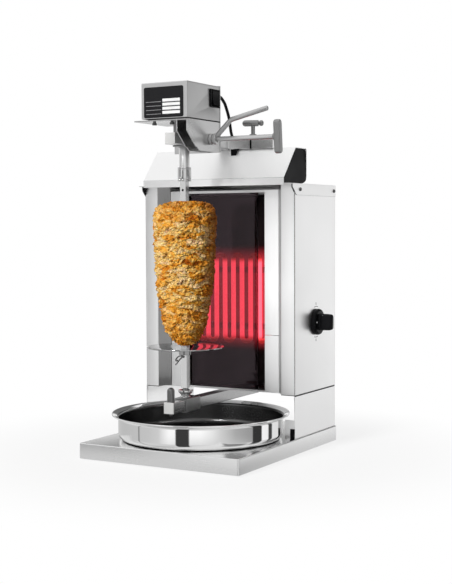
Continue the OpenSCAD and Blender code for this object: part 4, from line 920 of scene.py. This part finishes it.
# ---------------------------------------------------------------- arms
def arms():
    # the lower arm is a darker copy of the tube steel: painted shade
    for node, mat, z in (("lower_arm", "tube_low", LOW_ARM_Z), ("upper_arm", "tube", ARM_Z)):
        soften(node, mat, "housing", "tube_steel", 0.3, 4, long_edges(1, (0, z), ARM_HALF, 6), 1.9)
    soften("arm_end_caps", "white", "housing", "white_plastic", 0.5, 3)
    across = long_edges(0, (SUPPORT_Y, ARM_Z), ARM_HALF, 3)
    soften("support_tube", "tube_x", "housing", "tube_steel", 0.3, 4, across, 1.7)
    soften("clamp_pad", "rubber", "housing", "black_plastic", 0.3)
    soften("bar_wedge", "black", "housing", "black_plastic", 0.6, 3)
    low = LOW_ARM_Z - ARM_HALF
    prof = [(0, low - 9), (1.0, low - 9), (3.0, low - 5.5), (3.0, low - 2.0), (3, 103.7), (6.3, 103.7),
        (6.3, 121.0)]
    prof += [(6.3 * cosd(a), 121.4 + 6.3 * sind(a)) for a in range(10, 90, 13)] + [(0, 127.7)]
    screw = lathe("stop_screw_turned", prof, "stop_screw", (0, -138, 0), n=64)
    stand_for(screw, "stop_screw", "grey_metal", "stop_screw")
    top = 548.3
    stem = turned("t_stem", [(0, top - 7.7), (3.5, top - 7.7), (3.5, top + 0.12), (6.5, top + 0.12),
        (6.5, top + 6.0), (5.6, top + 6.9), (3.5, top + 6.9), (3.5, top + 22), (0, top + 22)], 0.4, 3, "t_screw",
        (55, 50, 0), n=48)
    prof = [(0, -19)] + [(5.5 * sind(t), -13.5 - 5.5 * cosd(t)) for t in range(12, 91, 13)]
    prof += [(5.5, 8.6), (5.1, 9.6), (3.0, 10.2), (3.0, 11.2), (4.6, 12.0)]
    prof += [(4.6 + 0.5 * sind(t), 12.0 + 3.2 * (1 - cosd(t))) for t in (45, 90)]
    prof += [(5.1 * cosd(t), 15.2 + 3.8 * sind(t)) for t in range(15, 90, 15)] + [(0, 19)]
    bar = lathe("t_bar", prof, "t_screw", (0, 0, 0), "x", 40)
    bar.data.transform(Matrix.Translation(mm(55, 50, top + 21 + 5.0)) @ Matrix.Rotation(math.radians(18), 4, "Z"))
    stand_for(joined("cross_screw_head", [stem, bar]), "cross_screw", "grey_metal", "cross_screw")


# ---------------------------------------------------------------- drive head
COVER_FRONT, COVER_TOP = -153.3, 628.9


def drive_head():
    soften("drive_bracket", "bracket", "drive_head", "cover_steel", 0.3)
    soften("arm_slider", "slider", "drive_head", "grey_metal", 0.6, 3)

    def cover_outer(p, q):
        def on(v):
            return (abs(abs(v.x) - 44.2) < 0.05) + (abs(v.y - COVER_FRONT) < 0.05) + (abs(v.z - COVER_TOP) < 0.05)
        m = (p + q) / 2
        return on(m) >= 2
    cover = soften("motor_cover", "cover", "drive_head", "cover_steel", 0.15, 4, cover_outer, 1.5)
    # the cover's front is a lighter copy of its steel than the sides and top: painted light and painted shade
    recoat(cover, "cover_front", lambda q, n: n.y < -0.9)
    rows = [prism("data_plate_blank", fillet(oblong(-38.5, 37, 571.5, 621.5), 3, 6, True), "y", COVER_FRONT - 0.8,
                  COVER_FRONT, "label", 0.25, 2)]
    for k in range(4):
        z1 = 601.8 - 6.6 * k
        rows.append(prism(f"field_{k}", fillet(oblong(-2.5, 31, z1 - 4.8, z1), 0.5, 3, True), "y",
                          COVER_FRONT - 0.95, COVER_FRONT - 0.7, "pale_print", 0.05, 1))
        rows.append(prism(f"rule_{k}", oblong(-34, -5, z1 - 4.7, z1 - 4.1), "y",
                          COVER_FRONT - 0.9, COVER_FRONT - 0.7, "dim_print", 0, 1))
    stand_for(joined("data_plate_fields", rows), "drive_head", "dark_label", "data_plate")
    soften("gearbox", "small", "drive_head", "grey_metal", 1.2, 3)
    motor = turned("motor_turned", [(0, 592.5), (24, 592.5), (24, 596), (23.2, 596.4), (23.2, 618), (24, 618.4),
        (24, 622.5), (8, 622.5), (8, 622.4), (0, 622.4)], 0.5, 3, "motor_paint", (0, -91, 0), n=72)
    stand_for(motor, "drive_head", "motor_paint", "motor")
    soften("bracket_bolts", "dark_screw", "drive_head", "small_steel", 0.4)
    soften("switch_housing", "black", "drive_head", "black_plastic", 0.6, 3)


def rocker():
    # the rocker's face is two shallow hollows that meet at its waist
    y0, y1, z0 = -75.7, -55.7, 607.5
    prof = [(-4.0, -11.0)]
    for out, way, low in ((3.4, -1.6, -12.0), (1.8, 1.6, 0.0)):
        prof += [(out + way * f - 0.5 * math.sin(math.pi * f), low + 12 * f) for f in (k / 8 for k in range(8))]
    prof += [(3.4, 12.0), (-4.0, 11.0)]
    c, s = cosd(6), sind(6)
    outline = [(45.2 + x * c - z * s, z0 + x * s + z * c) for x, z in prof]
    ob = prism("rocker_moulded", outline, "y", y0, y1, "black", 0.5, 3)
    pin = turned("rocker_pin", oblong(0, 1.5, -77.3, -54.1), 0.2, 2, "black", (43.2, 0, z0), "y", 24)
    stand_for(joined("rocker_switch_moulded", [ob, pin]), "rocker", "black_plastic", "rocker_switch")


LEAD = [(38, -53.3, 613.9), (38, -47.2, 613.9), (37.6, -38, 613.3), (36.2, -28, 611.5), (32.6, -11, 604.7),
        (29.8, 0, 597.2), (25.9, 13, 588.2), (21, 26, 579.3), (15.3, 39, 570.3), (9.8, 51.4, 561.7),
        (6.9, 59.4, 556.2), (5.3, 63.4, 553.2), (4.0, 68.05, 548.9), (3.2, 71.2, 543.2), (3, 72.5, 536),
        (LEAD_X, LEAD_Y, LEAD_Z), (LEAD_X, LEAD_Y, 525.3)]


def lead():
    points = catmull(LEAD, 5)
    ob = sweep("motor_lead_round", points, 2.6, "rubber", 20, 0)
    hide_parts("motor_lead")
    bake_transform(ob)


def clamps():
    rod = turned("clamp_spindle_turned", oblong(0, 4, 9.8, 164.5), 0.3, 2, "spindle", (0, SPINDLE_Y, ARM_Z), "x", 48)
    stand_for(rod, "clamp", "polished_steel", "clamp_spindle")
    half, w = 27.5, 6.25
    outline = arc2(0, half - w, w, 0, 180, 16) + arc2(0, -half + w, w, 180, 360, 16)
    ob = prism("t_grip_cast", outline, "x", 164.5, 175.5, "cast", 2.4, 5)
    ob.data.transform(Matrix.Translation(mm(0, SPINDLE_Y, ARM_Z)) @ Matrix.Rotation(math.radians(5), 4, "X"))
    collar = turned("t_grip_collar", oblong(4.05, 5.6, 162, 165.5), 0.6, 3, "cast", (0, SPINDLE_Y, ARM_Z), "x", 40)
    stand_for(joined("t_grip_cast", [ob, collar]), "clamp", "grey_metal", "t_grip")
    hub = turned("lever_hub", [(4.05, 44.5), (9.3, 44.5), (9.3, 49.5), (6.5, 49.5), (6.5, 52), (9.3, 52),
        (9.3, 57), (4.05, 57)], 0.7, 3, "lever", (0, SPINDLE_Y, ARM_Z), "x", 64)
    c = Vector((50.75, SPINDLE_Y, ARM_Z))
    d1, d2 = (Vector((cosd(rise), 0, sind(rise))) for rise in (43.5, 13.2))
    knee = c + d1 * 44.5
    arm = sweep("lever_arm", fillet3([c + d1 * 5.5, knee, knee + d2 * 71], [14], 14), 4.1, "lever", 28, 4)
    stand_for(joined("lock_lever_bent", [arm, hub]), "lock_lever", "grey_metal", "lock_lever")


# ---------------------------------------------------------------- spit
def spit():
    shaft = turned("drive_shaft_turned", [(7.85, 477.98), (8.75, 477.98), (8.75, 527.88), (4, 527.88), (4, 588.4),
        (0, 588.4), (0, 516), (7.85, 516)], 0.3, 2, "drive_tube", (0, SPIT_Y, 0), n=64)
    stand_for(shaft, "spit", "polished_steel", "drive_shaft")
    rod = soften("spit_rod", "rod", "spit", "polished_steel", 0.2, 3,
                 long_edges(2, (0, SPIT_Y), ROD_HALF, 20, 0.1), 0.8)
    # the rod's sideways faces are a darker copy of its steel: painted shade
    recoat(rod, "shaded_rod_side", lambda q, n: abs(n.x) > 0.95)
    recoat(rod, "shade", lambda q, n: abs(n.y) < 0.3 and abs(q.x) < 4.5 and q.z > 150)
    prof = round_profile([(5.7, 178), (11, 178), (11, 190), (65.5, 190), (65.5, 192), (5.7, 192)], 0.45, 3)
    disc = lathe("support_disc_turned", prof, "disc", (0, SPIT_Y, 0), n=144)
    stand_for(disc, "spit", "polished_steel", "support_disc")
    y0 = SPIT_Y - ROD_HALF - 1.4
    # a hairpin clip: its two legs leave the hole, one in an arc and one straight
    pin = [(0.4, SPIT_Y + 4.0, 175), (0.4, y0 + 1.6, 175), (-1.6, y0, 175.6)]
    arc = catmull([(-1.6, y0, 175.6), (-6.4, y0 - 0.6, 176.0), (-11.2, y0 - 0.8, 173.4), (-14.6, y0 - 0.6, 169.2),
                   (-13.6, y0 - 0.2, 167.4), (-10.8, y0 + 0.1, 168.6)], 6)
    wire = sweep("spit_clip_bent", pin[:2] + arc, 1.15, "clip", 16)
    leg = sweep("spit_clip_leg", catmull([(0.2, y0 + 0.4, 174.2), (-3.6, y0 + 0.9, 173.6), (-8.6, y0 + 0.9, 168.8),
                                          (-13.2, y0 + 0.7, 163.2), (-16.2, y0 + 0.5, 160.4)], 6), 1.1, "clip", 16)
    stand_for(joined("spit_clip_bent", [wire, leg]), "spit", "polished_steel", "spit_clip")
    sleeve = turned("coupling_sleeve_turned", [(8.8, 469.98), (11.5, 469.98), (11.5, 472.4), (11.1, 472.8),
        (11.1, 473.4), (11.5, 473.8), (11.5, 489.6), (11.1, 490.0), (11.1, 490.5), (11.5, 490.9), (11.5, 492.98),
        (8.8, 492.98)], 0.25, 2, "polished", (0, SPIT_Y, 0), n=72)
    screw = turned("set_screw", [(0, 8.9), (2.4, 8.9), (2.4, 14), (1.5, 14), (1.3, 13), (0, 13)], 0.2, 2, "small",
        (0, SPIT_Y, 474.8), "-y", 24)
    stand_for(joined("coupling_sleeve_turned", [sleeve, screw]), "sleeve", "polished_steel", "coupling_sleeve")
    soften("lower_slider", "slider", "lower_slide", "grey_metal", 0.3, 4,
           long_edges(1, (0, LOW_ARM_Z), SLIDER_HALF, 10, 0.1), 1.4)
    z = LOW_ARM_Z + SLIDER_HALF
    cup = turned("bearing_cup_turned", [(0, z), (9.3, z), (9.6, z + 1.2), (7.4, z + 3.0), (8.4, z + 5.2),
        (11.8, z + 8.6), (13, z + 9.6), (13, z + 12.4), (11.6, z + 12.6), (6.4, z + 8.2), (1.2, z + 4.6),
        (0, z + 4.5)], 0.5, 3, "polished", (0, SPIT_Y, 0), n=72)
    stand_for(cup, "lower_slide", "polished_steel", "bearing_cup")


# ---------------------------------------------------------------- knob
def knob():
    y, z = KNOB_Y, KNOB_Z
    shaft = turned("knob_shaft_turned", oblong(0, 3, 134.3, 168), 0.3, 2, "small", (0, y, z), "x", 32)
    stand_for(shaft, "knob", "small_steel", "knob_shaft")
    skirt = turned("knob_skirt", [(3.05, 151.9), (22.4, 151.9), (23, 152.8), (23, 156.6), (22.2, 158.6),
        (19.6, 159.9), (3.05, 160.4)], 0.6, 3, "gloss_black", (0, y, z), "x", 96)
    grip = []
    for x, w, hh in ((159.6, 8.0, 14.9), (162.5, 6.6, 14.5), (167, 5.6, 14.5), (174, 5.2, 14.4), (179.5, 5.8, 14.0),
                     (182.4, 5.6, 13.0), (183.5, 4.4, 11.4)):
        ring = []
        for k in range(64):
            a = 2 * math.pi * k / 64
            c, t = math.cos(a), math.sin(a)
            e = 4.6
            across, up = (math.copysign(abs(v) ** (2 / e), v) for v in (c, t))
            ring.append((x, y + w * across, z + hh * up))
        grip.append(ring)
    bar = rings_piece("knob_bar", grip, "gloss_black", 50)
    dot = lathe("knob_dot", oblong(0, 1.7, 159.6, 160.5), "pale_print", (0, y - 14.5, z), "x", 24)
    line = prism("knob_line", [(y - 0.6, z + 8.5), (y + 0.6, z + 8.5), (y + 0.6, z - 8.5), (y - 0.6, z - 8.5)], "x",
                 183.35, 183.5, "dim_print", 0, 1)
    stand_for(joined("control_knob_moulded", [skirt, bar, dot, line]), "knob", "black_plastic", "control_knob")
    marks = []
    for k, a in enumerate((90, 270)):
        cy, cz = y + 32 * cosd(a), z + 32 * sind(a)
        mark = oblong(cy - 0.8, cy + 0.8, cz - 2.2, cz + 2.2)
        marks.append(prism(f"mark_{k}", mark, "x", 151.45, 151.56, "dark_print", 0, 1))
        ring = [(y + r * cosd(a + t), z + r * sind(a + t))
                for r, span in ((27.6, range(-16, 17, 4)), (26.6, range(16, -17, -4))) for t in span]
        marks.append(prism(f"scale_{k}", ring, "x", 151.45, 151.56, "dark_print", 0, 1))
    stand_for(joined("knob_marks", marks), "housing", None)


# ---------------------------------------------------------------- pan
def pan():
    z, r, rim, top, c = BASE_TOP, 142.6, 154.0, 44.6, 12.0
    outer = [(0, z), (60, z)] + arc2(r - c, z + c, c, -90, 0, 12)
    outer += [(r, z + top - 8.6)] + arc2(r + 3.0, z + top - 7.8, 3.0, 180, 118, 5)[1:]
    # the lip flares out and its edge rolls under
    outer += [(r + 6.0, z + top - 4.2), (rim - 1.4, z + top - 2.6)]
    lip = arc2(rim - 1.3, z + top - 1.3, 1.3, -90, 90, 8)
    inner = [(r + 6.0, z + top - 2.4), (r + 1.9, z + top - 4.4)]
    inner += arc2(r - 1.2 + 4.4, z + top - 8.4, 4.4, 126, 180, 5)[1:]
    inner += [(r - 1.2, z + c + 1)] + arc2(r - c, z + c, c - 1.2, 0, -90, 12)[1:] + [(60, z + 1.2), (0, z + 1.2)]
    ob = lathe("drip_pan_spun", outer + lip + inner, ["pan", "pan_painted_shade"], (0, PAN_Y, 0), n=192, angle=50)

    # the inside of the pan is a dark copy of its steel, a painted dark reflection, and its underside a painted
    # contact shadow
    def inside(q, n):
        d = Vector((q.x, q.y - PAN_Y, 0))
        out = d.normalized().dot(n) if d.length > 5 else 0.0
        if q.z < z + 1.5 and n.z < -0.5:
            return True
        level = n.z > 0.2 and q.z > z + 0.6 and d.length < r + 1.0
        return q.z < z + top - 1.0 and d.length < r + 2.4 and (out < -0.2 or level)
    paint(ob, 1, inside)
    stand_for(ob, "pan", "polished_steel", "drip_pan")


# ---------------------------------------------------------------- meat
def value_noise(p, freq, seed):
    """Smooth noise from -1 to 1 at points, from a seeded table."""
    rng = np.random.default_rng(seed)
    table = rng.uniform(-1, 1, 4096)
    q = p * freq + 37.7
    i = np.floor(q).astype(np.int64)
    f = q - i
    f = f * f * (3 - 2 * f)
    out = np.zeros(len(p))
    for corner in np.ndindex(2, 2, 2):
        a, b, c = (i + corner).T
        h = (a * 73856093 ^ b * 19349663 ^ c * 83492791) & 4095
        u, v, w = np.where(corner, f, 1 - f).T
        out += u * v * w * table[h]
    return out


def cells(p, seeds, stretch):
    """For each point the nearest seed, and the distances to the nearest two."""
    tree = kdtree.KDTree(len(seeds))
    for i, q in enumerate(seeds * stretch):
        tree.insert(q, i)
    tree.balance()
    near = np.zeros(len(p), np.int64)
    d1, d2 = np.zeros(len(p)), np.zeros(len(p))
    find = tree.find_n
    for k, q in enumerate((p * stretch).tolist()):
        (_, i, a), (_, _, b) = find(q, 2)
        near[k], d1[k], d2[k] = i, a, b
    return near, d1, d2


# layers of flakes: how many, their stretch, lift and tilt, and the depth and width of the grooves between them
FLAKES = (
    (620, (1, 1, 2.3), 1.7, 0.16, 0.7, 1.0),
    (3400, (1, 1, 2.0), 1.15, 0.30, 0.7, 0.5),
    (11000, (1, 1, 1.5), 0.7, 0.36, 0.4, 0.35),
)
MEAT_LOW, MEAT_TALL, MEAT_R, MEAT_MOST_R = 192.0, 243.0, 52.0, 54.4


def meat():
    around, tall = ((420, 360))
    shares = [(0.105, 0.006), (0.16, 0.008), (0.3, 0.026), (0.42, 0.051), (0.6, 0.111), (0.715, 0.191),
        (0.8, 0.292), (0.87, 0.393), (0.918, 0.492), (0.944, 0.592), (0.992, 0.774), (1, 0.86), (0.985, 0.902),
        (0.946, 0.94), (0.865, 0.968), (0.72, 0.987), (0.5, 0.998), (0.25, 0.994), (0.105, 0.985)]
    prof = np.array([(r * MEAT_R, h * MEAT_TALL) for r, h in shares])
    curve = np.array([(q.x, q.y) for q in catmull([(a, b, 0) for a, b in prof], 12)])
    step = np.r_[0, np.cumsum(np.hypot(*np.diff(curve, axis=0).T))]
    t = np.linspace(0, step[-1], tall)
    r0, h0 = np.interp(t, step, curve[:, 0]), np.interp(t, step, curve[:, 1])
    tr, tz = np.gradient(r0), np.gradient(h0)
    norm = np.hypot(tr, tz)
    nr, nz = tz / norm, -tr / norm
    theta = np.arange(around) * 2 * np.pi / around
    c, s = np.cos(theta), np.sin(theta)
    base, normal = (np.stack([np.outer(r, c), np.outer(r, s), np.repeat(z[:, None], around, 1)], 2).reshape(-1, 3)
                    for r, z in ((r0, h0), (nr, nz)))
    rng = np.random.default_rng(20)

    def scatter(count):
        likely = np.repeat(r0 + 2, around)
        k = rng.choice(len(base), count, replace=False, p=likely / likely.sum())
        return base[k] + rng.normal(0, 1.5, (count, 3))

    warp = np.stack([value_noise(base, 0.09, seed) for seed in (1, 2, 3)], 1) * 3.2
    warp += np.stack([value_noise(base, 0.3, seed) for seed in (4, 5, 6)], 1)
    q = base + warp
    height = np.zeros(len(base))
    groove_shade = np.zeros(len(base))
    tones = []
    for count, stretch, lift, tilt, groove, width in FLAKES:
        seeds = scatter(count)
        near, d1, d2 = cells(q, seeds, np.array(stretch))
        up = rng.uniform(-0.5, 0.5, count)
        lean = rng.normal(0, tilt, (count, 3))
        lean[:, 2] -= tilt * 0.7
        off = q - seeds[near]
        crest = np.exp(-((d2 - d1) / width) ** 2)
        height += lift * up[near] + (off * lean[near]).sum(1) - groove * crest
        # painted shade in the grooves between flakes and on the sunken ones
        groove_shade += groove * crest * 0.5 + np.clip(-(lift * up[near]), 0, None) * 0.12
        tones.append(rng.uniform(0, 1, count)[near])
    height += (1.6 * value_noise(base, 0.035, 8) + 0.5 * value_noise(base, 0.6, 9)
               + 0.25 * value_noise(base, 1.3, 10))
    share = base[:, 2] / MEAT_TALL
    # no flakes where the meat meets the rod
    fade = np.clip((np.hypot(base[:, 0], base[:, 1]) - 6.5) / 10.0, 0, 1)
    height = np.clip(height, -6.0, 4.2) * fade
    pos = base + normal * height[:, None] * 0.92
    out = np.hypot(pos[:, 0], pos[:, 1])
    scale = np.where(out > MEAT_MOST_R, MEAT_MOST_R / out, 1.0)
    pos[:, :2] *= scale[:, None]
    pos[:, 2] = np.clip(pos[:, 2], 0.9, 244.5)
    # char on what stands proud, and in seeded spots
    spots = np.clip(value_noise(base, 0.16, 12) * 1.5 + value_noise(base, 0.45, 13) * 0.9 - 0.75, 0, 1)
    proud = np.clip((height - 1.9) / 2.2, 0, 1)
    char = np.clip(spots * 0.9 + proud * np.clip(0.35 + value_noise(base, 0.35, 14), 0, 1) * 0.7, 0, 1)
    char *= 0.75 + 0.25 * (share < 0.4)
    verts = np.column_stack([pos[:, 0], pos[:, 1] + SPIT_Y, pos[:, 2] + MEAT_LOW]) * MM
    ob = new_piece("meat_stack", verts, tube_faces(around, tall), "meat", 0)
    for name, values in (("cell", tones[0]), ("small", 0.6 * tones[1] + 0.4 * tones[2]),
                         ("groove_shade", np.clip(groove_shade * 0.62, 0, 1)), ("char", char), ("height", share)):
        a = ob.data.attributes.new(name, "FLOAT", "POINT")
        a.data.foreach_set("value", values.astype(np.float32))
    ob.visible_glossy = False
    stand_for(ob, "spit", "meat", "meat_cone")


base_tray()
side_sheets()
hood()
glass_front()
element()
wiring()
arms()
drive_head()
rocker()
lead()
clamps()
spit()
knob()
pan()
meat()


# ---------------------------------------------------------------- studio
def studio():
    world = bpy.data.worlds.new("studio")
    bpy.context.scene.world = world
    world.use_nodes = True
    w = Tree(world.node_tree)

    def ease(*values):
        return w.span(*values, True)

    def window(v, a, b, soft):
        return w.times(ease(v, a - soft, a + soft, 0.0, 1.0), ease(v, b - soft, b + soft, 1.0, 0.0))

    def blend(a, b, mask):
        return w.plus(w.times(a, w.math("SUBTRACT", 1.0, mask)), w.times(b, mask))

    # what the metal mirrors: a brightness for each azimuth, above and below the horizon
    xyz = w.node("ShaderNodeSeparateXYZ")
    w.link(w.node("ShaderNodeTexCoord").outputs["Generated"], xyz.inputs[0])
    x, y, z = xyz.outputs
    az = w.times(w.math("ARCTAN2", x, w.times(y, -1.0)), 180 / math.pi)
    el = w.times(w.math("ARCSINE", z), 180 / math.pi)
    most = 1.5

    def profile(stops):
        share = w.math("DIVIDE", w.plus(az, 180.0), 360.0)
        return w.times(w.ramp(share, [((at + 180) / 360, scaled(v / most)) for at, v in stops]), most)

    high = w.times(profile([
        (-180, 0.98), (-90, 0.90), (-70, 0.60), (-50, 0.34), (-36, 0.40), (-31, 0.62), (-27, 0.92), (-22, 1.02),
        (-12, 1.0), (0, 0.98), (180, 0.98)
    ]), ease(el, 35.0, 60.0, 1.0, 0.98))
    high = blend(high, 0.98, ease(el, 18.0, 30.0, 0.0, 1.0))
    low = profile([(-180, 0.80), (-128, 0.60), (-100, 0.58), (-46, 0.64), (-30, 0.70), (-22, 0.92), (-14, 1.12),
        (30, 1.16), (46, 0.95), (58, 0.72), (79, 0.46), (98, 0.38), (106, 0.36), (124, 1.06), (137, 1.0),
        (150, 0.86), (180, 0.80)])
    light = blend(high, low, ease(el, -9.4, -8.2, 1.0, 0.0))
    light = blend(light, 0.72, ease(el, -15.0, -12.5, 1.0, 0.0))
    light = blend(light, 0.48, ease(el, -60.0, -30.0, 1.0, 0.0))
    # dark fields: azimuth from and to, elevation from and to, brightness, and how soft they end each way
    for az0, az1, el0, el1, value, soft, esoft in (
        (-4.4, 14.6, -40, 30, 0.05, 1.0, 3.0), (106.6, 123.6, -40, 30, 0.04, 1.0, 3.0),
        (-65.5, -63, -40, -4, 0.25, 1.0, 3.0), (138, 147, -40, -7, 0.06, 1.0, 1.0), (62, 100, -6, 40, 0.27, 4.0, 2.0)
    ):
        light = blend(light, value, w.times(window(az, az0, az1, soft), window(el, el0, el1, esoft)))
    behind = w.plus(ease(az, 132, 142, 0.0, 1.0), ease(az, -128, -114, 1.0, 0.0))
    light = blend(light, 0.16, w.times(behind, window(el, 8, 36, 3)))

    # white to the camera, an even low light to diffuse surfaces, the fields only in mirrors
    path = w.node("ShaderNodeLightPath").outputs
    seen = w.math("MAXIMUM", path["Is Camera Ray"], path["Is Transmission Ray"])
    value = blend(light, 0.10, path["Is Diffuse Ray"])
    value = w.plus(w.times(value, w.math("SUBTRACT", 1.0, seen)), seen)
    colour = w.node("ShaderNodeCombineColor")
    for socket in colour.inputs:
        w.link(value, socket)
    shader = w.node("ShaderNodeBackground")
    w.link(colour.outputs[0], shader.inputs["Color"])
    shader.inputs["Strength"].default_value = 1.0
    w.link(shader.outputs[0], w.node("ShaderNodeOutputWorld").inputs["Surface"])

    def aim(ob, az, el, far, at):
        d = toward(az, el)
        turn = d.to_track_quat("Z", "Y").to_matrix().to_4x4()
        ob.matrix_world = Matrix.Translation(Vector(mm(*at)) + d * far) @ turn

    data = bpy.data.lights.new("key", "SUN")
    data.energy = 3.35
    data.angle = math.radians(14)
    key = add("key", data)
    key.visible_glossy = False
    aim(key, -8, 28, 2.0, (0, 0, 300))
    # a small lamp for the wet glints on the meat: it lights no diffuse surface
    data = bpy.data.lights.new("glint", "SPOT")
    data.energy = 70
    data.spot_size = math.radians(15)
    data.spot_blend = 0.4
    data.shadow_soft_size = 0.08
    glint = add("glint", data)
    glint.visible_diffuse = False
    glint.visible_transmission = False
    aim(glint, -6, 30, 1.2, (0, -91, 315))

    size = 6.0
    me = bpy.data.meshes.new("floor")
    me.from_pydata([(-size, -size, 0), (size, -size, 0), (size, size, 0), (-size, size, 0)], [], [(0, 1, 2, 3)])
    floor = add("floor", me)
    s = Shade("pale_floor")
    s.tree.nodes.remove(s.bsdf)
    cloud = s.noise(1.5, 3.0, 0.5)
    diffuse = s.node("ShaderNodeBsdfDiffuse")
    s.link(s.ramp(cloud, [(0.3, scaled(0.86)), (0.7, scaled(0.90))]), diffuse.inputs["Color"])
    white = s.node("ShaderNodeEmission")
    white.inputs["Strength"].default_value = 1.0
    both = s.node("ShaderNodeMixShader")
    far = s.node("ShaderNodeVectorMath", operation="LENGTH")
    s.link(s.place, far.inputs[0])
    s.link(s.span(far.outputs["Value"], 0.24, 0.60, 0.84, 1.0, True), both.inputs[0])
    s.link(diffuse.outputs[0], both.inputs[1])
    s.link(white.outputs[0], both.inputs[2])
    pick = s.node("ShaderNodeMixShader")
    s.link(s.node("ShaderNodeLightPath").outputs["Is Camera Ray"], pick.inputs[0])
    s.link(diffuse.outputs[0], pick.inputs[1])
    s.link(both.outputs[0], pick.inputs[2])
    s.link(pick.outputs[0], s.out.inputs["Surface"])
    me.materials.append(s.mat)
    floor.visible_glossy = False


studio()
bpy.context.scene.view_settings.view_transform = "Standard"
